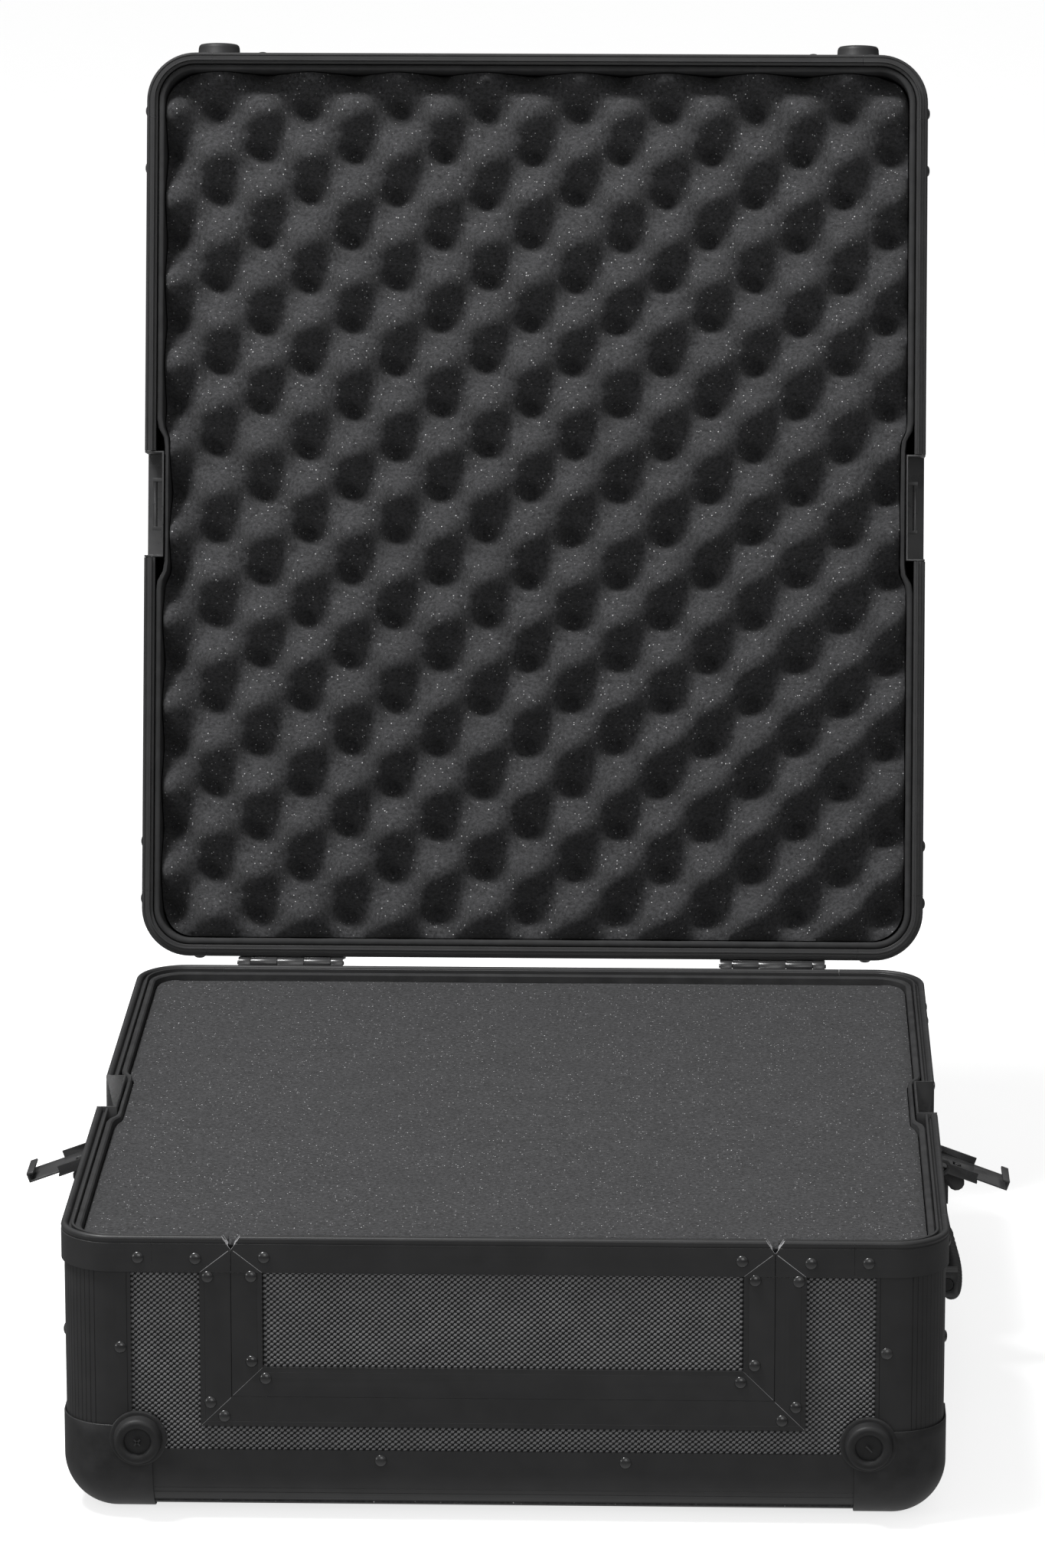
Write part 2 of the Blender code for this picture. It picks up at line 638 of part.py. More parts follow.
def latch_channel(side, swing):
    """U-shaped body: web, two flanges on the pivot pin, and the padlock ear."""
    web_low, web_high = 1.4 * MM, 2.4 * MM
    half, end = CHANNEL_HALF, CHANNEL_LEN
    channel = piece(f"latch_body_{side}",
                    block((-half, -4 * MM, web_low), (half, end, web_high)), "steel", swing)
    for flank in (-1, 1):
        low, high = sorted((flank * half, flank * (half - 1.2 * MM)))
        join(channel, block((low, -4 * MM, -3.2 * MM), (high, end - 1 * MM, web_high - 0.2 * MM)))
    ear = (8.2 * MM, -0.3 * MM)
    join(channel, rod((-half - 1 * MM, *ear), (-half + 0.9 * MM, *ear), 4.6 * MM, 20))
    cut(channel, rod((-half - 3 * MM, *ear), (-half + 3 * MM, *ear), 2.6 * MM, 16),
        rod((-half - 3 * MM, 0, 0), (half + 3 * MM, 0, 0), 1.3 * MM + GAP, 12),
        rod((0, KEY_S, 0), (0, KEY_S, 5 * MM), 4.2 * MM + GAP, 20))


def latch_hook(side, swing):
    """The sliding plate: a slot for the eccentric and a turned-in tip."""
    low, high = 0 * MM, 1.0 * MM
    tip, thick = HOOK_TIP, 1.2 * MM
    hook = piece(f"latch_hook_{side}",
                 block((-HOOK_HALF, 6.5 * MM, low), (HOOK_HALF, tip, high)), "steel", swing)
    join(hook, block((-HOOK_HALF, tip - thick, -4.4 * MM), (HOOK_HALF, tip, high / 2)),
         block((-HOOK_HALF, tip - 4 * MM, -4.4 * MM), (HOOK_HALF, tip - thick / 2, -3.2 * MM)))
    cam_s, reach = KEY_S + CAM_ECC, 2.35 * MM
    cut(hook, block((-4.5 * MM, cam_s - reach, low - 1 * MM),
                    (4.5 * MM, cam_s + reach, high + 1 * MM)))


# ---------------------------------------------------------------- handle

def handle():
    matrix = wall_matrix("right")
    reach = GRIP_HALF + 13 * MM
    b = GRIP_AXIS_B
    plate = piece("handle_plate", wall_plate([rect(-reach, b - 8 * MM, reach, b + 8 * MM)],
                                             EDGE_IN, BOARD_IN - GAP, "right"), "steel")
    for end in (-1, 1):
        low, high = sorted((end * (GRIP_HALF + 2.5 * MM), end * (reach - 0.5 * MM)))
        join(plate, block((low, b - 7 * MM, -EDGE_IN - 0.4 * MM),
                          (high, b + 7 * MM, GRIP_AXIS_N + 5.7 * MM), matrix))
    cut(plate, rod((-reach - 5 * MM, b, GRIP_AXIS_N), (reach + 5 * MM, b, GRIP_AXIS_N),
                   GRIP_R + GAP, 12, matrix=matrix))
    swing = empty("handle_swing", matrix @ Matrix.Translation((0, b, GRIP_AXIS_N)))
    curve = bpy.data.curves.new("handle_grip", "CURVE")
    curve.dimensions = "3D"
    curve.bevel_depth = GRIP_R
    curve.bevel_resolution = 3
    curve.use_fill_caps = True
    steps = 20
    route = [(-reach + 0.5 * MM, 0, 0)]
    for k in range(steps + 1):
        t = -1 + 2 * k / steps
        route.append((GRIP_HALF * t, -GRIP_DROP * (1 - t ** 4), GRIP_BOW * (1 - t * t)))
    route.append((reach - 0.5 * MM, 0, 0))
    add_spline(curve, route, cyclic=False)
    piece("handle_grip", curve_mesh(curve), "grip", swing)


# ---------------------------------------------------------------- lid

def lid_edge_frame(frame, location):
    """The lid's rounded edges and the skin of its corners, as one ring."""
    top = LID_PLANE + LID_H - UNDER
    low = top - EDGE_R - LID_EDGE_LEG

    def rounded(inset, radius, bottom):
        work = bmesh.new()
        half_x, half_y = HALF_W - inset, HALF_D - inset
        high = top - (inset - EDGE_IN)
        bmesh.ops.create_cube(work, size=1, matrix=Matrix.Translation((0, 0, (bottom + high) / 2))
                              @ Matrix.Diagonal((2 * half_x, 2 * half_y, high - bottom, 1)))
        edges = [edge for edge in work.edges
                 if max(vert.co.z for vert in edge.verts) > bottom + 1 * MM]
        bmesh.ops.bevel(work, geom=edges, offset=radius, segments=ARC_STEPS, profile=0.5,
                        affect="EDGES", clamp_overlap=False)
        return finish(work, "rounded")

    ring = piece("lid_edge_frame", rounded(EDGE_IN, EDGE_R, low), "extrusion", frame, location)
    half_x, half_y = HALF_W - CORNER_R - LID_EDGE_LEG, HALF_D - CORNER_R - LID_EDGE_LEG
    cut(ring, rounded(EDGE_IN + SHEET, EDGE_R - SHEET, low - 5 * MM),
        block((-half_x, -half_y, top - 10 * MM), (half_x, half_y, top + 5 * MM)))


def lid(frame, location):
    top = LID_PLANE + LID_H
    under = top - UNDER - SHEET - GAP
    half_x, half_y = HALF_W - CORNER_R - GAP, HALF_D - CORNER_R - GAP
    piece("lid_top_board", block((-half_x, -half_y, under - BOARD_T), (half_x, half_y, under)),
          "laminate", frame, location)
    wall = piece("lid_wall_board",
                 prism(plan_ring(BOARD_IN, BOARD_IN + BOARD_T), LID_PLANE + RIM_SOLID + GAP,
                       top - UNDER - EDGE_R - GAP), "laminate", frame, location)
    for side in ("left", "right"):
        cut(wall, wall_plate([rect(-DISH_HALF - GAP, LID_PLANE, DISH_HALF + GAP,
                                   LID_PLANE + LID_DISH_H + GAP)], 0, DISH_DEEP, side))
        keeper_dish(side, frame, location)
    profile = lid_rim_profile()
    piece("lid_rim_rear", sweep(rear_path(), profile), "extrusion", frame, location)
    end = DISH_HALF + GAP
    front = [(-HALF_W, -end)] + corner(-1, -1) + corner(1, -1) + [(HALF_W, -end)]
    piece("lid_rim_front", sweep(front, profile), "extrusion", frame, location)
    lid_edge_frame(frame, location)
    for side_x, side_y in CORNERS:
        ball_corner(f"lid_ball_corner_{corner_name(side_x, side_y)}", side_x, side_y, top,
                    LID_BALL_Z, frame, location)
    ceiling = under - BOARD_T - GAP
    liner_solid("lid_liner", LID_PLANE + 1 * MM, top - LINER_REACH, LID_PLANE - 5 * MM,
                LID_PLANE + LID_DISH_H, frame, location)
    foam_block("lid_foam", ceiling, LID_PLANE + 1.5 * MM, frame, location)
    for x, name in ((-FOOT_X, "left"), (FOOT_X, "right")):
        foot(f"lid_foot_{name}", x, top - LID_FOOT, frame, location)
    for x, name in ((-HINGE_X, "left"), (HINGE_X, "right")):
        hinge_leaf(f"hinge_leaf_lid_{name}", x, "lid", frame, location)


def base():
    base_boards()
    base_edges()
    corner_posts()
    for side_x, side_y in CORNERS:
        ball_corner(f"base_ball_corner_{corner_name(side_x, side_y)}", side_x, side_y, 0, BALL_Z)
    base_rims()
    opening_frame()
    base_soft_parts()
    for x, name in ((-FOOT_X, "left"), (FOOT_X, "right")):
        foot(f"base_foot_{name}", x, FOOT_Z)
    for x, name in ((-HINGE_X, "left"), (HINGE_X, "right")):
        hinge_leaf(f"hinge_leaf_base_{name}", x, "base")
        hinge_pin(f"hinge_pin_{name}", x)
    for side in ("left", "right"):
        latch_dish(side)


LOOKS = {
    "laminate": ((0.028, 0.029, 0.031), 0.45, 0.0),
    "extrusion": ((0.030, 0.030, 0.032), 0.35, 0.6),
    "steel": ((0.022, 0.022, 0.023), 0.35, 0.7),
    "rubber": ((0.012, 0.012, 0.012), 0.6, 0.0),
    "grip": ((0.03, 0.03, 0.03), 0.5, 0.0),
    "liner": ((0.03, 0.03, 0.032), 0.8, 0.0),
    "foam": ((0.055, 0.057, 0.060), 0.95, 0.0),
}

clear_scene()
PARTS = new_collection("attache_case")
CUTTERS = new_collection("cutters")
base()
front_panel(empty("front_panel_slide", Matrix.Identity(4)))
handle()
for wall in ("left", "right"):
    latch(wall)
AXIS = Vector((0, HINGE_Y, HINGE_Z))
LID_FRAME = empty("lid_hinge", Matrix.Translation(AXIS) @ Matrix.Rotation(-LID_OPEN, 4, "X"))
lid(LID_FRAME, -AXIS)
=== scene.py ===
"""Studio picture of a black foam-lined attache case that stands open.

Shapes are made in millimetres in the case's own frame, +X right, +Y to the rear, +Z up, and are
scaled to metres as each piece is placed. A wall's frame is (a, b, n): a along the wall, b up and
n outwards, with n = 0 on the rim's outer face. "Inset" means depth inwards from that face.
The lid is made closed and then turned open about its hinge.
"""

import json
import math

import bmesh
import bpy
import numpy as np
from mathutils import Matrix, Vector, noise


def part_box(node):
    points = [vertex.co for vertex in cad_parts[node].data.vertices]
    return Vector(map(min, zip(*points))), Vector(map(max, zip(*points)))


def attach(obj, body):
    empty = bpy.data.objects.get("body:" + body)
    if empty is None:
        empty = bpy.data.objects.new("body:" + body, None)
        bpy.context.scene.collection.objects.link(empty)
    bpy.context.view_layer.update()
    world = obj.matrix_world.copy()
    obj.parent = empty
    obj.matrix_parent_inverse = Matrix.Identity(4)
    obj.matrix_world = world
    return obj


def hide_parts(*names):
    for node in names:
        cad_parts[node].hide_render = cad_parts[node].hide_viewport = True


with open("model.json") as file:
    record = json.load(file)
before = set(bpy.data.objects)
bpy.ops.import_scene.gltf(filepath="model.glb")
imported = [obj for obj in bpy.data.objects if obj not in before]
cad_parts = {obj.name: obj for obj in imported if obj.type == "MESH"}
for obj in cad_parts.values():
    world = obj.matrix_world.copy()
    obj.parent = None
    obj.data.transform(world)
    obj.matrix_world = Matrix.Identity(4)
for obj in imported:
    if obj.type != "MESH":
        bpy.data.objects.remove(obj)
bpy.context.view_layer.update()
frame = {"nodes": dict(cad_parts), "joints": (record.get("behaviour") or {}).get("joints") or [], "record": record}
NODES = frame["nodes"]
MM = 0.001


def box_mm(node):
    low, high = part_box(node)
    return low / MM, high / MM


# ---------------------------------------------------------------- dimensions from the frame

RIM_LOW_CORNER, RIM_HIGH_CORNER = box_mm("base_rim_rear")
HALF_W, HALF_D, BASE_H = RIM_HIGH_CORNER
RIM_LOW = RIM_LOW_CORNER.z
HINGE = next(joint for joint in frame["joints"] if joint["name"] == "lid_hinge")
HINGE_AT = Vector(HINGE["pos_m"]) / MM
LID_TURN = math.radians(HINGE["range_deg"][0])
PANEL_HALF = box_mm("front_panel_frame")[1].x - 6.5
PANEL_LOW = box_mm("front_panel_frame")[0].z + 6.5
FOOT_LOW, FOOT_HIGH = box_mm("base_foot_right")
FOOT_X, FOOT_Z = (FOOT_LOW.x + FOOT_HIGH.x) / 2, (FOOT_LOW.z + FOOT_HIGH.z) / 2

GAP = 0.3
LID_PLANE = BASE_H + GAP
LID_TOP = LID_PLANE + 59.7
LID_FOOT_Z = LID_TOP - 36
RIM_W, RIM_SOLID, RIM_BAND = 6.6, 4.8, BASE_H - RIM_LOW
BOARD_TOP = BASE_H - RIM_SOLID - GAP
SHEET = 1.2
EDGE_IN, BALL_IN, BOARD_IN = 1.5, 0.2, 3.0
EDGE_R = 26.5
CORNER_R = EDGE_R + EDGE_IN
UNDER = 1.3
POST_LEG, EDGE_LEG, LID_EDGE_LEG = 9.0, 9.7, 1.8
EDGE_TOP = UNDER + EDGE_R + EDGE_LEG
BALL_X, BALL_Z, LID_BALL_Z = 47.0, 50.5, 40.0
DISH_HALF, DISH_LOW, DISH_FLANGE, DISH_DEEP, LID_DISH_H = 30.5, BASE_H - 50, 12.5, 11.2, 26.0
STRIP = 15.7
NOTCH_W, NOTCH_H = 9.5, 7.0
BASE_SEAM, LID_SEAM, SEAM_GAP = 48.1, 37.5, 0.12
LINER_IN, LINER_T, BULGE_IN = 6.9, 3.5, 14.2
FOAM_X, FOAM_Y, FOAM_R = HALF_W - LINER_IN - LINER_T - 0.6, HALF_D - LINER_IN - LINER_T - 0.6, 19.0
FOAM_PUSH = BULGE_IN - LINER_IN - LINER_T
BASE_FOAM_TOP = BASE_H - 5.5
LID_FOAM_FACE = LID_PLANE + 1.5
RIVET_R = 3.15
HINGE_X = 138.7

WALLS = {"front": (0, HALF_D), "right": (90, HALF_W), "rear": (180, HALF_D), "left": (270, HALF_W)}
CORNERS = {(-1, -1): 0, (1, -1): 90, (1, 1): 180, (-1, 1): 270}
SCALE = Matrix.Diagonal((MM, MM, MM, 1))
STILL = Matrix.Identity(4)
LID = Matrix.Translation(HINGE_AT) @ Matrix.Rotation(LID_TURN, 4, "X") \
    @ Matrix.Translation(-HINGE_AT)


def wall(side):
    turn, half = WALLS[side]
    upright = Matrix.Translation((0, -half, 0)) @ Matrix.Rotation(math.radians(90), 4, "X")
    return Matrix.Rotation(math.radians(turn), 4, "Z") @ upright


# ---------------------------------------------------------------- materials

def nodes_of(name, colour, roughness, metallic=0.0, specular=0.5):
    made = bpy.data.materials.new(name)
    made.use_nodes = True
    shader = made.node_tree.nodes["Principled BSDF"]
    shader.inputs["Base Color"].default_value = (*colour, 1)
    shader.inputs["Roughness"].default_value = roughness
    shader.inputs["Metallic"].default_value = metallic
    shader.inputs["Specular IOR Level"].default_value = specular
    made.diffuse_color = (*colour, 1)
    return made, made.node_tree, shader


def coordinates(tree, scale=(1, 1, 1)):
    source = tree.nodes.new("ShaderNodeTexCoord")
    mapping = tree.nodes.new("ShaderNodeMapping")
    mapping.inputs["Scale"].default_value = scale
    tree.links.new(source.outputs["Object"], mapping.inputs["Vector"])
    return mapping.outputs["Vector"]


def noise_node(tree, vector, scale, detail=3.0, roughness=0.55):
    made = tree.nodes.new("ShaderNodeTexNoise")
    made.inputs["Scale"].default_value = scale
    made.inputs["Detail"].default_value = detail
    made.inputs["Roughness"].default_value = roughness
    tree.links.new(vector, made.inputs["Vector"])
    return made.outputs["Fac"]


def spread(tree, value, low, high, start=0.3, end=0.7):
    """Maps a noise value to the range low to high."""
    made = tree.nodes.new("ShaderNodeMapRange")
    made.inputs["From Min"].default_value = start
    made.inputs["From Max"].default_value = end
    made.inputs["To Min"].default_value = low
    made.inputs["To Max"].default_value = high
    tree.links.new(value, made.inputs["Value"])
    return made.outputs["Result"]


def shades(tree, value, dark, light, start=0.3, end=0.7):
    ramp = tree.nodes.new("ShaderNodeValToRGB")
    ramp.color_ramp.elements[0].position = start
    ramp.color_ramp.elements[1].position = end
    ramp.color_ramp.elements[0].color = (*dark, 1)
    ramp.color_ramp.elements[1].color = (*light, 1)
    tree.links.new(value, ramp.inputs["Fac"])
    return ramp.outputs["Color"]


def bump(tree, shader, height, strength, depth, below=None):
    made = tree.nodes.new("ShaderNodeBump")
    made.inputs["Strength"].default_value = strength
    made.inputs["Distance"].default_value = depth
    tree.links.new(height, made.inputs["Height"])
    if below is not None:
        tree.links.new(below, made.inputs["Normal"])
    tree.links.new(made.outputs["Normal"], shader.inputs["Normal"])
    return made.outputs["Normal"]


def grey(value, tint=1.02):
    return (value, value, value * tint)


def extrusion_material(name, along):
    """Satin black anodised section: drawn lines along its length and faint blotches."""
    made, tree, shader = nodes_of(name, grey(0.045), 0.33, 0.0, 0.45)
    stretch = {"x": (6, 900, 900), "y": (900, 6, 900), "z": (900, 900, 6)}[along]
    drawn = noise_node(tree, coordinates(tree, stretch), 1.0, 4.0)
    blotch = noise_node(tree, coordinates(tree), 60.0, 3.0)
    tree.links.new(shades(tree, blotch, grey(0.040), grey(0.050)), shader.inputs["Base Color"])
    tree.links.new(spread(tree, drawn, 0.36, 0.50), shader.inputs["Roughness"])
    bump(tree, shader, drawn, 0.22, 0.00006)
    return made


def coat_material(name, value, roughness, grain, strength, specular=0.4):
    """Powder coat or moulding: a fine pebbled skin with small changes of gloss."""
    made, tree, shader = nodes_of(name, grey(value), roughness, 0.0, specular)
    vector = coordinates(tree)
    fine = noise_node(tree, vector, grain, 4.0)
    wide = noise_node(tree, vector, grain / 14, 3.0)
    tree.links.new(shades(tree, wide, grey(value * 0.8), grey(value * 1.25)),
                   shader.inputs["Base Color"])
    tree.links.new(spread(tree, wide, roughness - 0.06, roughness + 0.08),
                   shader.inputs["Roughness"])
    bump(tree, shader, fine, strength, 0.00012)
    return made


def laminate_material(name, value, patterned=False):
    """Dimpled laminate of the given tone; besides its own dark colour, this makes a painted highlight copy for the
    raised lozenges' lit tops and a painted shade copy for the board in the gaps between them. The pattern is bump
    only where no raised sheet lies on the board.
    """
    made, tree, shader = nodes_of(name, grey(value), 0.42, 0.0, 0.3)
    vector = coordinates(tree)
    fine = noise_node(tree, vector, 2600.0, 3.0)
    wide = noise_node(tree, vector, 90.0, 3.0)
    tree.links.new(shades(tree, wide, grey(value * 0.88), grey(value * 1.12)), shader.inputs["Base Color"])
    tree.links.new(spread(tree, fine, 0.36, 0.50), shader.inputs["Roughness"])
    under = bump(tree, shader, fine, 0.15, 0.00004)
    if patterned:
        split = tree.nodes.new("ShaderNodeSeparateXYZ")
        tree.links.new(vector, split.inputs["Vector"])
        waves = []
        for slope in (1, -1):
            mixed = math_node(tree, "MULTIPLY_ADD", split.outputs["Y"], 2 * math.pi / 0.0028 * slope,
                              math_node(tree, "MULTIPLY", split.outputs["X"],
                                        2 * math.pi / 0.0032))
            waves.append(math_node(tree, "COSINE", mixed))
        height = math_node(tree, "MULTIPLY", *waves)
        bump(tree, shader, height, 0.6, 0.00015, under)
    return made


def math_node(tree, operation, *values):
    made = tree.nodes.new("ShaderNodeMath")
    made.operation = operation
    for socket, value in zip(made.inputs, values):
        if hasattr(value, "links"):
            tree.links.new(value, socket)
        else:
            socket.default_value = value
    return made.outputs["Value"]


def foam_material(name, dark, light, cell, painted_glint):
    """Open-cell foam: pores as bump, mottled grey, and painted glints: a few cells painted near white in the base
    colour, standing in for cell walls that catch the light.
    """
    made, tree, shader = nodes_of(name, grey(light), 0.92, 0.0, 0.12)
    vector = coordinates(tree)
    pores = tree.nodes.new("ShaderNodeTexVoronoi")
    pores.inputs["Scale"].default_value = cell
    tree.links.new(vector, pores.inputs["Vector"])
    mottle = noise_node(tree, vector, cell * 0.55, 4.0, 0.7)
    wide = noise_node(tree, vector, 34.0, 3.0)
    base = shades(tree, mottle, grey(dark), grey(light), 0.32, 0.68)
    toned = tree.nodes.new("ShaderNodeMix")
    toned.data_type = "RGBA"
    toned.blend_type = "MULTIPLY"
    toned.inputs["Factor"].default_value = 1.0
    tree.links.new(base, toned.inputs["A"])
    tree.links.new(shades(tree, wide, grey(0.86), grey(1.0)), toned.inputs["B"])
    split = tree.nodes.new("ShaderNodeSeparateColor")
    tree.links.new(pores.outputs["Color"], split.inputs["Color"])
    # Painted glints: a few random small cells are painted near white in the base colour as highlights.
    lit = spread(tree, split.outputs["Red"], 0.0, 1.0, 0.94, 1.0)
    small = spread(tree, pores.outputs["Distance"], 1.0, 0.0, 0.18, 0.42)
    painted_glint_mask = math_node(tree, "MULTIPLY", lit, small)
    mixed = tree.nodes.new("ShaderNodeMix")
    mixed.data_type = "RGBA"
    tree.links.new(painted_glint_mask, mixed.inputs["Factor"])
    tree.links.new(toned.outputs["Result"], mixed.inputs["A"])
    mixed.inputs["B"].default_value = (*grey(painted_glint), 1)
    tree.links.new(mixed.outputs["Result"], shader.inputs["Base Color"])
    bump(tree, shader, mottle, 0.55, 0.0006)
    shader.inputs["Sheen Weight"].default_value = 0.12
    shader.inputs["Sheen Roughness"].default_value = 0.6
    return made


def bare_material(name):
    """Cut aluminium with saw marks."""
    made, tree, shader = nodes_of(name, grey(0.75), 0.32, 0.35)
    marks = noise_node(tree, coordinates(tree, (1, 1, 5)), 900.0, 3.0)
    tree.links.new(shades(tree, marks, grey(0.55), grey(0.95)), shader.inputs["Base Color"])
    tree.links.new(spread(tree, marks, 0.24, 0.45), shader.inputs["Roughness"])
    bump(tree, shader, marks, 0.3, 0.00005)
    return made


EXTRUSION = {axis: extrusion_material(f"anodised_along_{axis}", axis) for axis in "xyz"}
COAT = coat_material("powder_coat", 0.042, 0.40, 1500.0, 0.20)
HARDWARE = coat_material("black_hardware", 0.050, 0.27, 900.0, 0.08, 0.8)
RIVET = coat_material("rivet_black", 0.040, 0.20, 700.0, 0.03, 1.0)
RUBBER = coat_material("foot_rubber", 0.034, 0.50, 1100.0, 0.30, 0.4)
GRIP = coat_material("grip_moulding", 0.034, 0.50, 1000.0, 0.60, 0.45)
LINER = coat_material("liner_sheet", 0.048, 0.78, 1300.0, 0.50, 0.25)
# Painted highlight: the raised lozenges' laminate is painted far lighter than the black board, standing in for
# their tops lit from above.
LAMINATE_PAINTED_HIGHLIGHT = laminate_material("dimpled_laminate", 0.300)
# Painted shade: the board between and behind the lozenges is painted darker than the laminate's own colour,
# standing in for the shade in the gaps.
LAMINATE_PAINTED_SHADE = laminate_material("laminate_painted_shade_between_dimples", 0.020)
LAMINATE_BUMP = laminate_material("dimpled_laminate_flat", 0.030, True)
# Both foams carry painted glints: near-white cells painted into their base colour.
BASE_FOAM = foam_material("base_foam_cells", 0.024, 0.088, 1000.0, 0.90)
LID_FOAM = foam_material("lid_foam_cells", 0.026, 0.092, 900.0, 0.85)
BARE = bare_material("cut_aluminium")


# ---------------------------------------------------------------- mesh helpers

def points_on_arc(centre, radius, start, end, steps=16):
    angles = [math.radians(start + (end - start) * i / steps) for i in range(steps + 1)]
    return [(centre[0] + radius * math.cos(t), centre[1] + radius * math.sin(t)) for t in angles]


def corner_arc(side_x, side_y, steps=16):
    """The plan outline's corner, counter-clockwise."""
    turn = {(1, -1): 270, (1, 1): 0, (-1, 1): 90, (-1, -1): 180}[side_x, side_y]
    centre = (side_x * (HALF_W - CORNER_R), side_y * (HALF_D - CORNER_R))
    return points_on_arc(centre, CORNER_R, turn, turn + 90, steps)


def soften(points, radius, steps=2):
    """Rounds the corners of a closed outline."""
    made = []
    count = len(points)
    for i, point in enumerate(points):
        here, before, after = Vector(point), Vector(points[i - 1]), Vector(points[(i + 1) % count])
        back, ahead = before - here, after - here
        turn = math.pi - back.angle(ahead)
        reach = min(radius * math.tan(turn / 2), back.length * 0.45, ahead.length * 0.45)
        if turn < math.radians(25):
            made.append(tuple(here))
            continue
        start, end = here + back.normalized() * reach, here + ahead.normalized() * reach
        for k in range(steps + 1):
            t = k / steps
            made.append(tuple(start * (1 - t) ** 2 + here * 2 * t * (1 - t) + end * t * t))
    return made


def sweep(work, path, profile, matrix=STILL, closed=False, cap=0):
    """Carries a closed (inset, height) outline along a path of plan points, mitred at its bends."""
    path = [Vector(point) for point in path]
    count = len(path)
    rings = []
    for i, here in enumerate(path):
        before = path[i - 1] if closed or i else None
        after = path[(i + 1) % count] if closed or i < count - 1 else None
        into = (here - before).normalized() if before is not None else None
        out = (after - here).normalized() if after is not None else into
        into = out if into is None else into
        side_1, side_2 = Vector((-into.y, into.x)), Vector((-out.y, out.x))
        middle = (side_1 + side_2).normalized()
        middle /= max(middle.dot(side_1), 0.3)
        rings.append([work.verts.new(matrix @ Vector((*(here + middle * inset), height)))
                      for inset, height in profile])
    pairs = list(zip(rings, rings[1:])) + ([(rings[-1], rings[0])] if closed else [])
    size = len(profile)
    for ring, following in pairs:
        for j in range(size):
            k = (j + 1) % size
            work.faces.new((ring[j], ring[k], following[k], following[j]))
    if not closed:
        for ring in (rings[0], rings[-1]):
            work.faces.new(ring).material_index = cap


def extrude(work, outline, low, high, matrix=STILL, cap=0):
    rings = [[work.verts.new(matrix @ Vector((*point, height))) for point in outline]
             for height in (low, high)]
    size = len(outline)
    for j in range(size):
        k = (j + 1) % size
        work.faces.new((rings[0][j], rings[0][k], rings[1][k], rings[1][j]))
    for ring in rings:
        work.faces.new(ring).material_index = cap


def lathe(work, profile, matrix, steps=40, index=0):
    """Turns (radius, height) points about the matrix's z axis; a radius of 0 closes an end."""
    rings = []
    for radius, height in profile:
        if radius == 0:
            rings.append([work.verts.new(matrix @ Vector((0, 0, height)))])
            continue
        rings.append([work.verts.new(matrix @ Vector((radius * math.cos(2 * math.pi * k / steps),
                                                      radius * math.sin(2 * math.pi * k / steps),
                                                      height))) for k in range(steps)])
    for ring, following in zip(rings, rings[1:]):
        for k in range(steps):
            m = (k + 1) % steps
            if len(ring) == 1:
                corners = (ring[0], following[m], following[k])
            elif len(following) == 1:
                corners = (ring[k], ring[m], following[0])
            else:
                corners = (ring[k], ring[m], following[m], following[k])
            work.faces.new(corners).material_index = index


def link(thing):
    bpy.context.scene.collection.objects.link(thing)


def place(work, name, body, materials, replaced=(), matrix=STILL, sharp=35, solid=True):
    """Makes a piece from a mesh in millimetres and hangs it on its body."""
    if solid:
        bmesh.ops.recalc_face_normals(work, faces=work.faces)
    bmesh.ops.transform(work, matrix=SCALE @ matrix, verts=work.verts)
    mesh = bpy.data.meshes.new(name)
    work.to_mesh(mesh)
    work.free()
    return place_mesh(mesh, name, body, materials, replaced, sharp)


def place_mesh(mesh, name, body, materials, replaced=(), sharp=35):
    for look in materials:
        mesh.materials.append(look)
    mesh.shade_smooth()
    if sharp is not None:
        mesh.set_sharp_from_angle(angle=math.radians(sharp))
    made = bpy.data.objects.new(name, mesh)
    link(made)
    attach(made, body)
    if replaced:
        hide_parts(*replaced)
    return made


def settle(thing):
    """Applies a piece's modifiers."""
    graph = bpy.context.evaluated_depsgraph_get()
    mesh = bpy.data.meshes.new_from_object(thing.evaluated_get(graph))
    thing.modifiers.clear()
    thing.data = mesh


def carve(thing, work, index=1):
    """Cuts a shape, in millimetres in the row frame, out of a piece and marks the cut faces."""
    for face in work.faces:
        face.material_index = index
    bmesh.ops.recalc_face_normals(work, faces=work.faces)
    bmesh.ops.transform(work, matrix=SCALE, verts=work.verts)
    mesh = bpy.data.meshes.new("cutter")
    work.to_mesh(mesh)
    work.free()
    for look in thing.data.materials:
        mesh.materials.append(look)
    cutter = bpy.data.objects.new("cutter", mesh)
    link(cutter)
    step = thing.modifiers.new("Cut", "BOOLEAN")
    step.operation = "DIFFERENCE"
    step.solver = "EXACT"
    step.object = cutter
    settle(thing)
    bpy.data.objects.remove(cutter)
    thing.data.set_sharp_from_angle(angle=math.radians(35))


def bevel(thing, width, segments=2, angle=32):
    step = thing.modifiers.new("Bevel", "BEVEL")
    step.width = width * MM
    step.segments = segments
    step.limit_method = "ANGLE"
    step.angle_limit = math.radians(angle)
    step.harden_normals = False
    settle(thing)


def rider_of(node):
    return next(body for body, members in frame["record"]["behaviour"]["bodies"].items()
                if node in members)


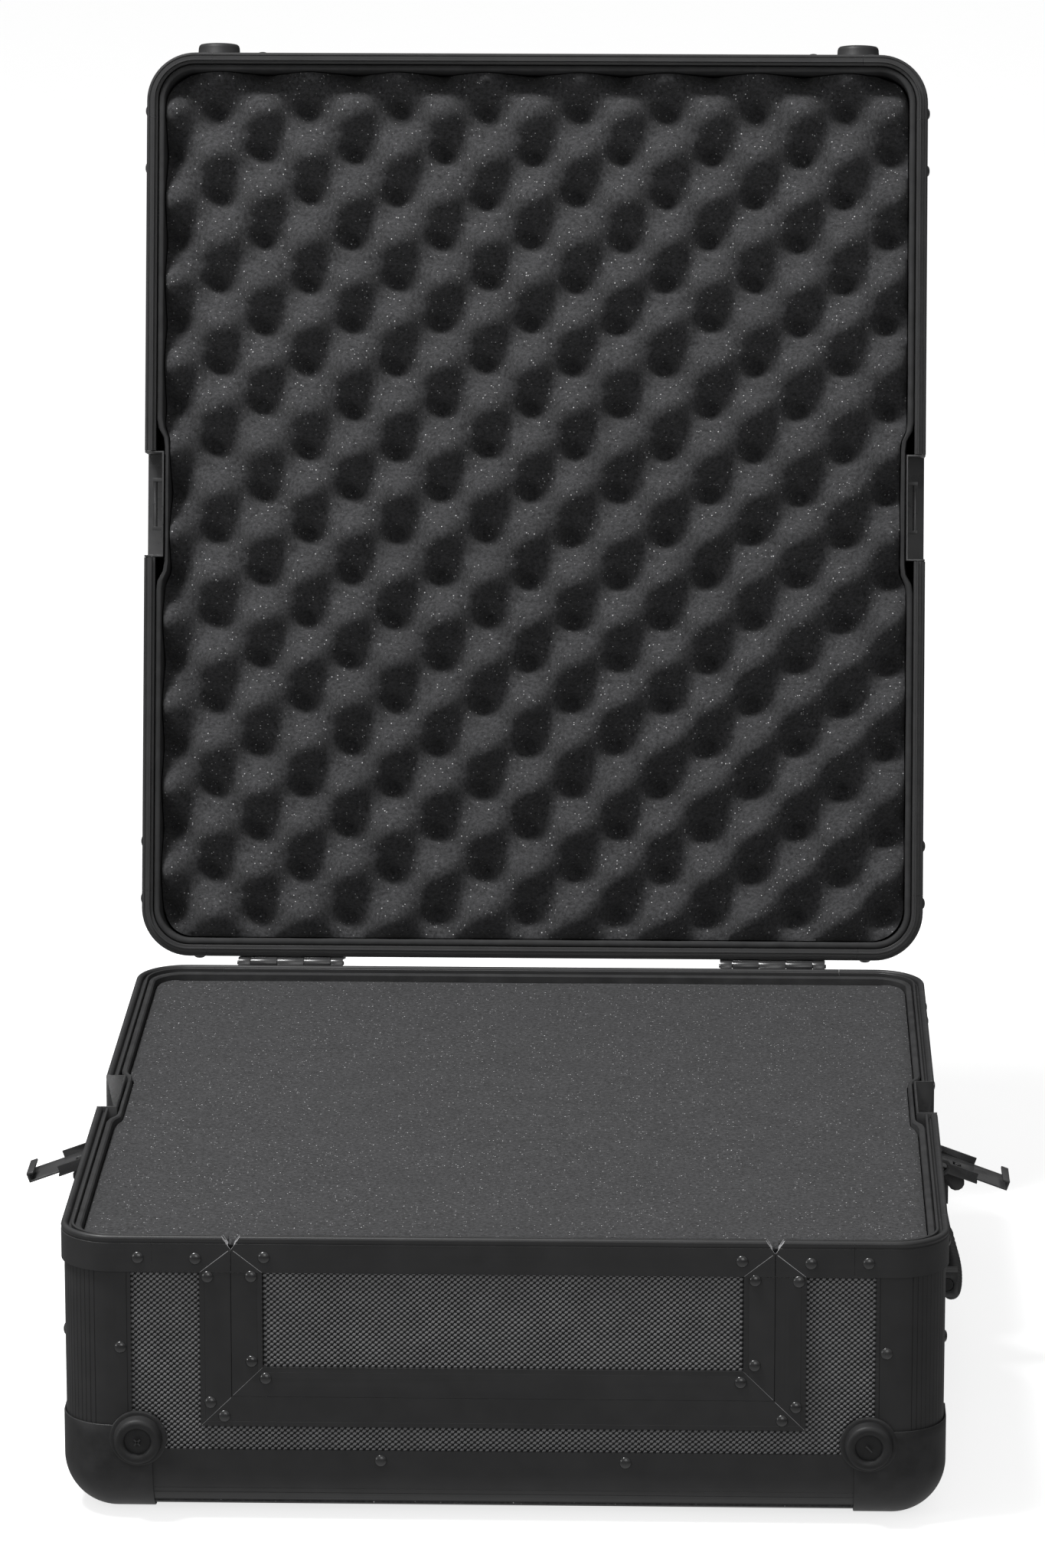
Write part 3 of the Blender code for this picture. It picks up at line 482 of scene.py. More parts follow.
def finer(node, name, look, width=0.3):
    """A bevelled copy of a CAD part that is already the right shape."""
    work = bmesh.new()
    work.from_mesh(NODES[node].data)
    bmesh.ops.remove_doubles(work, verts=work.verts, dist=2e-6)
    bmesh.ops.dissolve_limit(work, angle_limit=math.radians(1.5), verts=work.verts,
                             edges=work.edges)
    mesh = bpy.data.meshes.new(name)
    work.to_mesh(mesh)
    work.free()
    made = place_mesh(mesh, name, rider_of(node), [look], [node])
    bevel(made, width)
    made.data.shade_smooth()
    made.data.set_sharp_from_angle(angle=math.radians(38))
    return made


DOME = [(RIVET_R, -0.4), (RIVET_R, 0.1), (3.02, 0.35), (2.55, 0.8), (1.8, 1.15), (0.9, 1.35),
        (0, 1.4)]


def rivets(name, body, spots, matrix=STILL):
    """Domed rivets; each spot is (wall side, a, b, inset)."""
    work = bmesh.new()
    for side, a, b, inset in spots:
        lathe(work, DOME, wall(side) @ Matrix.Translation((a, b, -inset)), 24)
    place(work, name, body, [RIVET], [], matrix, 60)


# ---------------------------------------------------------------- sections

def base_rim_section():
    """Outer band, a fine groove, the rounded bead, the groove for the lid and the inner lip."""
    top = BASE_H
    band = [(0, RIM_LOW), (0, top - 3.9), (0.55, top - 3.6), (0.55, top - 3.3)]
    bead = points_on_arc((1.75, top - 1.75), 1.75, 215, 0, 12)
    inner = [(3.6, top - 3), (5.3, top - 3), (5.3, top - 0.9), (5.5, top - 0.7),
             (6.4, top - 0.7), (6.6, top - 0.9), (RIM_W, top - RIM_SOLID)]
    back = [(SHEET, top - RIM_SOLID), (SHEET, RIM_LOW)]
    return band + bead + inner + back


def lid_rim_section():
    z = LID_PLANE
    face = [(0, z + RIM_BAND), (0, z + 4.2), (0.5, z + 3.9), (0.5, z + 3.6), (0.15, z + 3.2),
            (0.1, z + 1.6), (0.35, z + 0.6), (0.9, z + 0.1), (1.5, z), (1.7, z + 0.5),
            (2.1, z + 0.5), (2.3, z)]
    tongue = [(3.9, z), (4.0, z - 2.0), (4.2, z - 2.2), (4.7, z - 2.2), (4.9, z - 2.0), (5.0, z)]
    inner = [(6.3, z), (RIM_W, z + 0.3), (RIM_W, z + RIM_SOLID), (SHEET, z + RIM_SOLID),
             (SHEET, z + RIM_BAND)]
    return face + tongue + inner


def corner_run(side_x, side_y, seam):
    """A corner section's path, reaching the seam on both walls."""
    arc = corner_arc(side_x, side_y)
    reach = seam - CORNER_R
    first = (Vector(arc[0]) - Vector(arc[1])).normalized()
    last = (Vector(arc[-1]) - Vector(arc[-2])).normalized()
    snap = [Vector((round(v.x), round(v.y))) for v in (first, last)]
    return [tuple(Vector(arc[0]) + snap[0] * reach)] + arc + [tuple(Vector(arc[-1])
                                                                   + snap[1] * reach)]


def straight_runs(seam):
    """The straight rim lengths by wall; the sides are broken at the latches."""
    x, y, end = HALF_W - seam - SEAM_GAP, HALF_D - seam - SEAM_GAP, DISH_HALF + GAP
    return {"rear": [[(x, HALF_D), (-x, HALF_D)]], "front": [[(-x, -HALF_D), (x, -HALF_D)]],
            "right": [[(HALF_W, -y), (HALF_W, -end)], [(HALF_W, end), (HALF_W, y)]],
            "left": [[(-HALF_W, y), (-HALF_W, end)], [(-HALF_W, -end), (-HALF_W, -y)]]}


def notch_cutter(side):
    """The V where the panel's rim meets the case's rim."""
    middle, half = side * PANEL_HALF, NOTCH_W / 2
    top, low = BASE_H + 1, BASE_H - NOTCH_H
    reach = half * (top - low) / NOTCH_H
    work = bmesh.new()
    extrude(work, [(middle, low), (middle + reach, top), (middle - reach, top)],
            -RIM_W - 2, 2, wall("front"))
    return work


def rim_half(section, side_y, straights, seam):
    """The rim's corner sections at the front or rear, and the straight lengths given."""
    work = bmesh.new()
    for side_x in (1, -1):
        sweep(work, corner_run(side_x, side_y, seam), section, cap=1)
    for run in straights:
        sweep(work, run, section, cap=1)
    return work


def base_rims():
    section = base_rim_section()
    runs = straight_runs(BASE_SEAM)
    work = rim_half(section, 1, runs["rear"] + [runs["right"][1], runs["left"][0]], BASE_SEAM)
    place(work, "rim_rear", "base", [EXTRUSION["x"], BARE], ["base_rim_rear"])
    joint = PANEL_HALF + GAP
    seam = HALF_W - BASE_SEAM - SEAM_GAP
    for sign, name, index in ((-1, "left", 1), (1, "right", 0)):
        work = bmesh.new()
        sweep(work, corner_run(sign, -1, BASE_SEAM), section, cap=1)
        sweep(work, runs[name][index], section, cap=1)
        near, far = sorted((sign * joint, sign * seam))
        sweep(work, [(near, -HALF_D), (far, -HALF_D)], section, cap=1)
        rim = place(work, f"rim_front_{name}", "base", [EXTRUSION["x"], BARE],
                    [f"base_rim_front_{name}"])
        carve(rim, notch_cutter(sign))


def opening_strips():
    """The fixed strips round the opening and the panel's own strips, mitred at the corners."""
    fixed_half, fixed_low = PANEL_HALF + 16, PANEL_LOW - 15.8
    top = RIM_LOW - GAP
    fixed = [(0.2, -2.7), (0, -0.42), (0.12, -0.3), (2.4, -0.3), (2.6, -0.42), (2.8, -0.3),
             (15.62, -0.3), (15.7, -0.38), (15.7, -1.1), (9.2, -1.1), (9.2, -2.7)]
    work = bmesh.new()
    sweep(work, [(-fixed_half, top), (-fixed_half, fixed_low), (fixed_half, fixed_low),
                 (fixed_half, top)], fixed, wall("front"), cap=1)
    place(work, "opening_strips", "base", [EXTRUSION["z"], BARE],
          ["opening_frame"], sharp=25)
    half, low = PANEL_HALF, PANEL_LOW
    own = [(-6.5, -1.45), (0, -1.45), (0, -0.38), (0.08, -0.3), (12.9, -0.3), (13.1, -0.42),
           (13.3, -0.3), (15.65, -0.3), (15.7, -0.35), (15.7, -2.7), (0, -2.7), (-6.5, -2.5)]
    work = bmesh.new()
    sweep(work, [(-half, top), (-half, low), (half, low), (half, top)], own, wall("front"), cap=1)
    rim_half = PANEL_HALF - 0.1
    sweep(work, [(-rim_half, -HALF_D), (rim_half, -HALF_D)], base_rim_section(), cap=1)
    strips = place(work, "panel_strips", "front_panel", [EXTRUSION["x"], BARE],
                   ["front_panel_frame"], sharp=25)
    for sign in (-1, 1):
        carve(strips, notch_cutter(sign))


def scribe(work, start, end, width, height, matrix):
    """A thin bright scratch or mitre line lying on a face."""
    start, end = Vector(start), Vector(end)
    along = (end - start).normalized()
    across = Vector((-along.y, along.x)) * width / 2
    outline = [start - across, end - across * 0.5, end + across * 0.5, start + across]
    extrude(work, [tuple(point) for point in outline], height - 0.05, height, matrix)


def mitre_lines():
    """Where the anodised mitres are cut, bare metal shows as a hair line."""
    front = wall("front")
    work = bmesh.new()
    for sign in (-1, 1):
        scribe(work, (sign * (PANEL_HALF + 1.2), RIM_LOW + 11.5),
               (sign * (PANEL_HALF + 15.5), RIM_LOW + 0.2), 0.34, 0.02, front)
        scribe(work, (sign * (PANEL_HALF + 0.5), PANEL_LOW - 0.6),
               (sign * (PANEL_HALF + 15.6), PANEL_LOW - 15.4), 0.16, -0.28, front)
    place(work, "mitre_lines_fixed", "base", [BARE])
    work = bmesh.new()
    for sign in (-1, 1):
        scribe(work, (sign * (PANEL_HALF - 1.2), RIM_LOW + 11.5),
               (sign * (PANEL_HALF - 15.5), RIM_LOW + 0.2), 0.26, 0.02, front)
        scribe(work, (sign * (PANEL_HALF - 0.5), PANEL_LOW + 0.6),
               (sign * (PANEL_HALF - 15.5), PANEL_LOW + 15.4), 0.14, -0.28, front)
    place(work, "mitre_lines_panel", "front_panel", [BARE])


ARC_STOPS = 30


def fluted_arc(radius, grooves, width=0.55, depth=0.28, start=180, end=270):
    """An arc about the origin with fine V grooves at the given angles."""
    made = [(radius * math.cos(math.radians(start)), radius * math.sin(math.radians(start)))]
    half = math.degrees(width / radius) / 2
    stops = []
    for i in range(1, ARC_STOPS + 1):
        angle = start + (end - start) / ARC_STOPS * i
        if all(abs(angle - groove) > half * 1.3 for groove in grooves):
            stops.append((angle, radius))
    for groove in grooves:
        stops += [(groove - half, radius), (groove, radius - depth), (groove + half, radius)]
    for angle, distance in sorted(stops):
        made.append((distance * math.cos(math.radians(angle)),
                     distance * math.sin(math.radians(angle))))
    return made


def quarter(leg, grooves, line_at=None):
    """A rounded section's outline about its arc centre, bulging to -a and -b."""
    outer = fluted_arc(EDGE_R, grooves)
    inner = points_on_arc((0, 0), EDGE_R - SHEET, 270, 180, 12)
    tail = [(leg, -EDGE_R), (leg, -EDGE_R + SHEET)]
    head = [(-EDGE_R + SHEET, leg), (-EDGE_R, leg)]
    if line_at is not None:
        tail = [(line_at - 0.2, -EDGE_R), (line_at, -EDGE_R + 0.2), (line_at + 0.2, -EDGE_R)] + tail
        head = head + [(-EDGE_R, line_at + 0.2), (-EDGE_R + 0.2, line_at), (-EDGE_R, line_at - 0.2)]
    return outer + tail + inner + head


POST_GROOVES = [225 + offset for offset in range(-24, 25, 6)]
EDGE_GROOVES = [225 + offset for offset in (-19, -12, 12, 19)]


def corner_name(side_x, side_y):
    return ("front" if side_y < 0 else "rear") + "_" + ("left" if side_x < 0 else "right")


def corner_matrix(side_x, side_y, inset, z=0):
    """Stands at a corner of the plan, set in from both walls, turned with the corner."""
    return Matrix.Translation((side_x * (HALF_W - inset), side_y * (HALF_D - inset), z)) \
        @ Matrix.Rotation(math.radians(CORNERS[side_x, side_y]), 4, "Z")


def posts():
    section = quarter(POST_LEG, POST_GROOVES, 7.0)
    for side_x, side_y in CORNERS:
        at = corner_matrix(side_x, side_y, CORNER_R)
        name = corner_name(side_x, side_y)
        work = bmesh.new()
        extrude(work, section, EDGE_TOP + GAP, BOARD_TOP, at)
        place(work, f"post_{name}", "base", [EXTRUSION["z"]],
              [f"corner_post_{name}"], sharp=28)


def edge_matrix(side, lift, up):
    """Places a quarter section so that it runs along a wall's lower or upper edge."""
    turn, half = WALLS[side]
    lay = Matrix(((0, 0, 1, 0), (1, 0, 0, 0), (0, up, 0, 0), (0, 0, 0, 1)))
    return Matrix.Rotation(math.radians(turn), 4, "Z") \
        @ Matrix.Translation((0, -half + CORNER_R, lift)) @ lay


def edge(side, name, body, node, leg, lift, up, matrix=STILL):
    """One rounded section along a wall's lower (up = 1) or upper (up = -1) edge."""
    half, axis = (HALF_W, "x") if side in ("front", "rear") else (HALF_D, "y")
    length = half - CORNER_R - leg - GAP
    work = bmesh.new()
    extrude(work, quarter(leg, EDGE_GROOVES), -length, length, edge_matrix(side, lift, up))
    place(work, name, body, [EXTRUSION[axis]], [node], matrix, 28)


def edges():
    for side in WALLS:
        edge(side, f"edge_{side}", "base", f"base_edge_{side}", EDGE_LEG, UNDER + EDGE_R, 1)


def lid_edges():
    """The lid's four edge sections and four corner skins stand for the one CAD ring."""
    lift = LID_TOP - UNDER - EDGE_R
    for side in WALLS:
        edge(side, f"lid_edge_{side}", "lid", "lid_edge_frame", LID_EDGE_LEG, lift, -1, LID)
    skin = quarter(POST_LEG, POST_GROOVES)
    work = bmesh.new()
    for side_x, side_y in CORNERS:
        at = corner_matrix(side_x, side_y, CORNER_R)
        extrude(work, skin, LID_PLANE + RIM_SOLID + GAP, lift, at)
    place(work, "lid_corner_skins", "lid", [EXTRUSION["z"]], [], LID, 28)


# ---------------------------------------------------------------- ball corners and feet

def rounded_point(point, radius):
    """Moves a point of a cube corner's outer faces onto the corner's rounded form."""
    v = Vector([max(radius - c, 0) for c in point])
    if v.length == 0:
        return Vector(point)
    return Vector([radius - v[i] * radius / v.length if v[i] > 0 else point[i]
                   for i in range(3)])


def cap_steps(reach, radius):
    """Grid stops along one direction, even in angle over the rounded part."""
    bend = [radius * (1 - math.tan(math.radians(45 - 45 * k / 12))) for k in range(13)]
    flat = [radius + (reach - radius) * k / 4 for k in range(1, 5)]
    return bend + flat


def ball_cap(height, inset):
    """A pressed cap with a rolled edge, its outer faces on the three planes through the origin."""
    radius = CORNER_R - inset
    along, up = cap_steps(BALL_X, radius), cap_steps(height, radius)
    work = bmesh.new()
    grids = ((lambda s, t: (s, t, 0), along, along), (lambda s, t: (s, 0, t), along, up),
             (lambda s, t: (0, s, t), along, up))
    for shape, first, second in grids:
        rows = [[work.verts.new(rounded_point(shape(s, t), radius)) for t in second]
                for s in first]
        for i in range(len(first) - 1):
            for j in range(len(second) - 1):
                work.faces.new((rows[i][j], rows[i + 1][j], rows[i + 1][j + 1], rows[i][j + 1]))
    bmesh.ops.remove_doubles(work, verts=work.verts, dist=0.02)
    bmesh.ops.recalc_face_normals(work, faces=work.faces)
    middle = Vector((BALL_X, BALL_X, height))
    if sum(face.normal.dot(face.calc_center_median() - middle) for face in work.faces) < 0:
        bmesh.ops.reverse_faces(work, faces=work.faces)
    return work


def ball_corner(name, node, side_x, side_y, z, height, body, matrix=STILL):
    work = ball_cap(height, BALL_IN)
    if body == "lid":
        bmesh.ops.scale(work, vec=(1, 1, -1), verts=work.verts)
        bmesh.ops.reverse_faces(work, faces=work.faces)
    at = corner_matrix(side_x, side_y, BALL_IN, z)
    bmesh.ops.transform(work, matrix=at, verts=work.verts)
    cap = place(work, name, body, [COAT], [node], matrix, 40, False)
    shell = cap.modifiers.new("Sheet", "SOLIDIFY")
    shell.thickness = 1.0 * MM
    shell.offset = -1
    shell.use_even_offset = True
    settle(cap)
    bevel(cap, 0.35, 2, 50)
    cap.data.shade_smooth()
    cap.data.set_sharp_from_angle(angle=math.radians(50))


FOOT_PROFILE = [(12.4, 0.3), (12.4, 1.0), (12.1, 1.6), (11.9, 4.6), (11.5, 5.9), (10.7, 6.6),
                (9.7, 6.8), (8.1, 6.6), (7.1, 6.0), (6.7, 5.2), (6.5, 3.8), (0, 3.8)]
BOSS_PROFILE = [(14.6, -1.2), (14.6, -0.35), (14.2, -0.02), (13.5, 0.1), (0, 0.1)]
SCREW_PROFILE = [(3.9, 3.6), (3.9, 4.1), (3.3, 4.9), (2.2, 5.5), (1.1, 5.75), (0, 5.8)]


def feet():
    for sign, name in ((-1, "left"), (1, "right")):
        for body, level, matrix in (("base", FOOT_Z, STILL), ("lid", LID_FOOT_Z, LID)):
            at = wall("front") @ Matrix.Translation((sign * FOOT_X, level, 0))
            work = bmesh.new()
            lathe(work, FOOT_PROFILE, at, 56)
            place(work, f"{body}_rubber_foot_{name}", body, [RUBBER],
                  [f"{body}_foot_{name}"], matrix, 45)
            work = bmesh.new()
            lathe(work, BOSS_PROFILE, at, 56)
            place(work, f"{body}_foot_boss_{name}", body, [COAT], [], matrix, 45)
            work = bmesh.new()
            lathe(work, SCREW_PROFILE, at, 28)
            screw = place(work, f"{body}_foot_screw_{name}", body, [HARDWARE, HARDWARE],
                          [], matrix, 45)
            cross = bmesh.new()
            for turn in (45, 135):
                spin = matrix @ at @ Matrix.Rotation(math.radians(turn), 4, "Z")
                extrude(cross, [(-2.2, -0.4), (2.2, -0.4), (2.2, 0.4), (-2.2, 0.4)], 4.7, 6.6, spin)
            carve(screw, cross)


# ---------------------------------------------------------------- dimpled boards

LOZENGE_A, LOZENGE_B = 3.2, 1.4
LOZENGE_HALF_A, LOZENGE_HALF_B, LOZENGE_SLANT, LOZENGE_H = 1.15, 0.80, 0.50, 0.42


def dimples(name, body, patches, matrix=STILL):
    """Raised lozenges in staggered rows. A patch is (matrix, rectangle, face height, hole)."""
    points, faces = [], []
    shape = np.array([(-LOZENGE_HALF_A, -LOZENGE_SLANT, -0.02),
                      (LOZENGE_SLANT, -LOZENGE_HALF_B, -0.02),
                      (LOZENGE_HALF_A, LOZENGE_SLANT, -0.02),
                      (-LOZENGE_SLANT, LOZENGE_HALF_B, -0.02), (0, 0, LOZENGE_H)])
    for at, (low_a, low_b, high_a, high_b), height, hole in patches:
        turn = np.array(SCALE @ matrix @ at)
        for j in range(math.ceil(low_b / LOZENGE_B), int(high_b / LOZENGE_B) + 1):
            shift = LOZENGE_A / 2 if j % 2 else 0
            cells = np.arange(math.ceil((low_a - shift) / LOZENGE_A),
                              (high_a - shift) / LOZENGE_A) * LOZENGE_A + shift
            if hole is not None and hole[1] < j * LOZENGE_B < hole[3]:
                cells = cells[(cells < hole[0]) | (cells > hole[2])]
            centres = np.stack([cells, np.full(len(cells), j * LOZENGE_B),
                                np.full(len(cells), height)], 1)
            points.append((centres[:, None, :] + shape[None]).reshape(-1, 3) @ turn[:3, :3].T
                          + turn[:3, 3])
    cloud = np.concatenate(points)
    for base in range(0, len(cloud), 5):
        for k in range(4):
            faces.append((base + k, base + (k + 1) % 4, base + 4))
    mesh = bpy.data.meshes.new(name)
    mesh.from_pydata(cloud.tolist(), [], faces)
    # The lozenges take the laminate with the painted highlight.
    made = place_mesh(mesh, name, body, [LAMINATE_PAINTED_HIGHLIGHT], [], None)
    made.data.shade_flat()
    return made


def boards():
    for node in ("base_front_board", "base_rear_board", "base_left_board", "base_right_board",
                 "front_panel_board", "lid_wall_board", "lid_top_board"):
        # The wall boards show only in the gaps between lozenges and take the laminate with the painted shade.
        set_look(node, LAMINATE_PAINTED_SHADE)
    set_look("base_bottom_board", LAMINATE_BUMP)
    end_x, end_y = HALF_W - CORNER_R - POST_LEG, HALF_D - CORNER_R - POST_LEG
    opening, window, flange = PANEL_HALF + 16, PANEL_HALF - STRIP, DISH_HALF + DISH_FLANGE
    face = -BOARD_IN
    front = wall("front")
    dimples("dimples_front", "base", [
        (front, (-end_x, EDGE_TOP, end_x, RIM_LOW), face,
         (-opening + 1, PANEL_LOW - 14.8, opening - 1, BASE_H))])
    dimples("dimples_panel", "front_panel", [
        (front, (-window, PANEL_LOW + STRIP, window, RIM_LOW), -1.7, None)])
    dimples("dimples_rear", "base", [
        (wall("rear"), (-end_x, EDGE_TOP, end_x, RIM_LOW), face, None)])
    for side in ("left", "right"):
        dimples(f"dimples_{side}", "base", [
            (wall(side), (-end_y, EDGE_TOP, end_y, RIM_LOW), face,
             (-flange + 1, DISH_LOW - DISH_FLANGE + 1, flange - 1, BASE_H))])
    low, high = LID_PLANE + RIM_BAND, LID_TOP - UNDER - EDGE_R - LID_EDGE_LEG
    strips = []
    for side in WALLS:
        end = end_x if side in ("front", "rear") else end_y
        hole = None if side in ("front", "rear") else (-flange + 1, low - 5, flange - 1, high + 5)
        strips.append((wall(side), (-end, low, end, high), face, hole))
    dimples("dimples_lid_walls", "lid", strips, LID)
    top = LID_TOP - UNDER - SHEET - GAP
    half_x, half_y = HALF_W - CORNER_R - LID_EDGE_LEG, HALF_D - CORNER_R - LID_EDGE_LEG
    dimples("dimples_lid_top", "lid", [(STILL, (-half_x, -half_y, half_x, half_y), top, None)],
            LID)


def set_look(node, look):
    thing = NODES[node]
    thing.data.materials.clear()
    thing.data.materials.append(look)


# ---------------------------------------------------------------- foam and liner

def dish_push(y):
    """How far the liner is pushed in behind the latch dish, from 0 to 1."""
    t = min(max((DISH_HALF + 17 - abs(y)) / 12, 0), 1)
    return t * t * (3 - 2 * t)


def squircle(x, y):
    """Fits a rectangle's point to the foam block's outline: round corners, pushed-in sides."""
    edge_x, edge_y = FOAM_X - FOAM_R, FOAM_Y - FOAM_R
    u, v = (abs(x) - edge_x) / FOAM_R, (abs(y) - edge_y) / FOAM_R
    if u > 0 and v > 0:
        u, v = u * math.sqrt(1 - v * v / 2), v * math.sqrt(1 - u * u / 2)
        return math.copysign(edge_x + u * FOAM_R, x), math.copysign(edge_y + v * FOAM_R, y)
    return x * (1 - FOAM_PUSH * dish_push(y) / FOAM_X), y


def foam_surface(name, body, look, node, height, seat, step, matrix=STILL):
    """A foam block whose face follows height(x, y); its sides drop to the seat."""
    count_x, count_y = round(2 * FOAM_X / step), round(2 * FOAM_Y / step)
    work = bmesh.new()
    rows = []
    for i in range(count_x + 1):
        row = []
        for j in range(count_y + 1):
            x, y = squircle(-FOAM_X + 2 * FOAM_X * i / count_x, -FOAM_Y + 2 * FOAM_Y * j / count_y)
            row.append(work.verts.new((x, y, height(x, y))))
        rows.append(row)
    for i in range(count_x):
        for j in range(count_y):
            work.faces.new((rows[i][j], rows[i + 1][j], rows[i + 1][j + 1], rows[i][j + 1]))
    loop = [rows[i][0] for i in range(count_x)] + [rows[count_x][j] for j in range(count_y)] \
        + [rows[i][count_y] for i in range(count_x, 0, -1)] + [rows[0][j] for j in range(count_y, 0, -1)]
    foot = [work.verts.new((vert.co.x, vert.co.y, seat)) for vert in loop]
    for k in range(len(loop)):
        m = (k + 1) % len(loop)
        work.faces.new((loop[k], foot[k], foot[m], loop[m]))
    work.faces.new(foot)
    made = place(work, name, body, [look], [node], matrix, 60)
    return made


EGG_X, EGG_Y, EGG_AMP = 25.85, 24.35, 10.5
EGG_PEAK = (-183.4, -201.7)


def egg_crate(x, y):
    """Depth of the lid foam's face: rounded peaks near the lid's plane and pits between them."""
    warp_x = 3.0 * noise.noise(Vector((x / 60, y / 60, 3.1)))
    warp_y = 3.0 * noise.noise(Vector((x / 60, y / 60, 9.7)))
    a = math.pi * (x + warp_x - EGG_PEAK[0]) / EGG_X
    b = math.pi * -(y + warp_y - EGG_PEAK[1]) / EGG_Y
    right = min(max((x + 170) / 330, 0), 1)
    low = min(max((y + 200) / 330, 0), 1)
    lean = -0.06 + 0.26 * right * low
    value = (1 + lean) / 2 * math.cos(a - b) + (1 - lean) / 2 * math.cos(a + b)
    depth = EGG_AMP * (1.0 - 1.1 * max(value, 0) ** 0.95 + 1.35 * max(-value, 0) ** 2.0)
    lumps = 0.30 * noise.noise(Vector((x / 7, y / 7, 1.7)))
    margin = min(FOAM_X - abs(x), FOAM_Y - abs(y))
    sag = 2.5 * max(0, 1 - margin / 7) ** 2
    return LID_FOAM_FACE + 0.8 + depth + lumps + sag


def flat_foam(x, y):
    margin = min(FOAM_X - abs(x), FOAM_Y - abs(y))
    edge = 1.6 * max(0, 1 - margin / 3.0) ** 2
    return BASE_FOAM_TOP - 0.35 - edge + 0.3 * noise.noise(Vector((x / 70, y / 70, 0.4)))


def foams():
    floor_low, _ = box_mm("base_foam")
    foam_surface("base_foam_block", "base", BASE_FOAM, "base_foam", flat_foam, floor_low.z + 0.2,
                 4.0)
    ceiling = LID_TOP - UNDER - SHEET - GAP - 3.2 - GAP
    foam_surface("lid_foam_block", "lid", LID_FOAM, "lid_foam", egg_crate, ceiling - 0.2, 2.6, LID)


def ring_outline(inset, bulge, steps=12):
    """The inside plan outline at an inset, pushed inwards behind the latch dishes."""
    radius = CORNER_R - inset
    half_x, half_y = HALF_W - inset, HALF_D - inset
    made = []
    for turn, sx, sy in ((270, 1, -1), (0, 1, 1), (90, -1, 1), (180, -1, -1)):
        centre = (sx * (half_x - radius), sy * (half_y - radius))
        made += points_on_arc(centre, radius, turn, turn + 90, steps)
        if sx == 1 and sy == -1 or sx == -1 and sy == 1:
            for k in range(-9, 10):
                y = k * 5.5 * sx
                made.append((sx * (half_x - bulge(y)), y))
    return made


def liner_outlines():
    """The liner sheet's outer and inner outlines in plan."""
    out_push, in_push = DISH_DEEP + GAP - LINER_IN + 0.2, BULGE_IN - LINER_IN - LINER_T
    out = ring_outline(LINER_IN, lambda y: out_push * dish_push(y))
    inner = ring_outline(LINER_IN + LINER_T, lambda y: in_push * dish_push(y))
    return out, inner


def liners():
    out, inner = liner_outlines()
    for body, low, high, node, matrix, edge_up in (
            ("base", 14.8, BASE_H - 2.2, "base_liner", STILL, True),
            ("lid", LID_PLANE + 1.0, LID_TOP - 14.8, "lid_liner", LID, False)):
        work = bmesh.new()
        free, fixed = (high, low) if edge_up else (low, high)
        sign = 1 if edge_up else -1
        count = len(out)
        rings = []
        for t, drop in ((0.0, None), (0.0, 0.8), (0.22, 0.0), (0.78, 0.0), (1.0, 0.8), (1.0, None)):
            ring = []
            for k in range(count):
                x = out[k][0] * (1 - t) + inner[k][0] * t
                y = out[k][1] * (1 - t) + inner[k][1] * t
                wave = 0.45 * noise.noise(Vector((x / 26, y / 26, 5.0)))
                z = fixed if drop is None else free - sign * (drop + 0.3) + wave * sign * 0.8
                ring.append(work.verts.new((x, y, z)))
            rings.append(ring)
        for ring, following in zip(rings, rings[1:] + rings[:1]):
            for k in range(count):
                m = (k + 1) % count
                work.faces.new((ring[k], ring[m], following[m], following[k]))
        sheet = place(work, f"{body}_liner_sheet", body, [LINER], [node], matrix, 50)
        if body == "base":
            gap = bmesh.new()
            half = PANEL_HALF + 1.5
            extrude(gap, [(-half, PANEL_LOW), (half, PANEL_LOW), (half, BASE_H + 5),
                          (-half, BASE_H + 5)], -20, 0, wall("front"))
            carve(sheet, gap, 0)


# ---------------------------------------------------------------- lid shell

def lid_rims():
    section = lid_rim_section()
    runs = straight_runs(LID_SEAM)
    straights = {"rear": runs["rear"] + [runs["right"][1], runs["left"][0]],
                 "front": runs["front"] + [runs["right"][0], runs["left"][1]]}
    for end, side_y in (("rear", 1), ("front", -1)):
        work = rim_half(section, side_y, straights[end], LID_SEAM)
        place(work, f"lid_rim_{end}_sections", "lid", [EXTRUSION["x"], BARE],
              [f"lid_rim_{end}"], LID, 25)


# ---------------------------------------------------------------- hardware

def all_hardware():
    for side in ("left", "right"):
        finer(f"latch_dish_{side}", f"base_dish_{side}", HARDWARE, 0.35)
        finer(f"lid_keeper_{side}", f"lid_dish_{side}", HARDWARE, 0.35)
        finer(f"latch_body_{side}", f"latch_channel_{side}", HARDWARE, 0.25)
        finer(f"latch_hook_{side}", f"latch_plate_{side}", HARDWARE, 0.25)
        finer(f"latch_key_{side}", f"latch_cam_{side}", HARDWARE, 0.2)
        finer(f"latch_wing_{side}", f"latch_butterfly_{side}", HARDWARE, 0.2)
        finer(f"hinge_leaf_base_{side}", f"hinge_lower_{side}", HARDWARE, 0.2)
        finer(f"hinge_leaf_lid_{side}", f"hinge_upper_{side}", HARDWARE, 0.2)
        finer(f"hinge_pin_{side}", f"hinge_rod_{side}", RIVET, 0.3)
    finer("handle_plate", "handle_bracket", HARDWARE, 0.6)


GRIP_HALF, GRIP_DROP, GRIP_BOW, GRIP_OUT = 76.0, 20.0, 6.7, 4.3
SLEEVE_R, RIB_H, SLEEVE_ROUND = 4.05, 0.3, 0.5


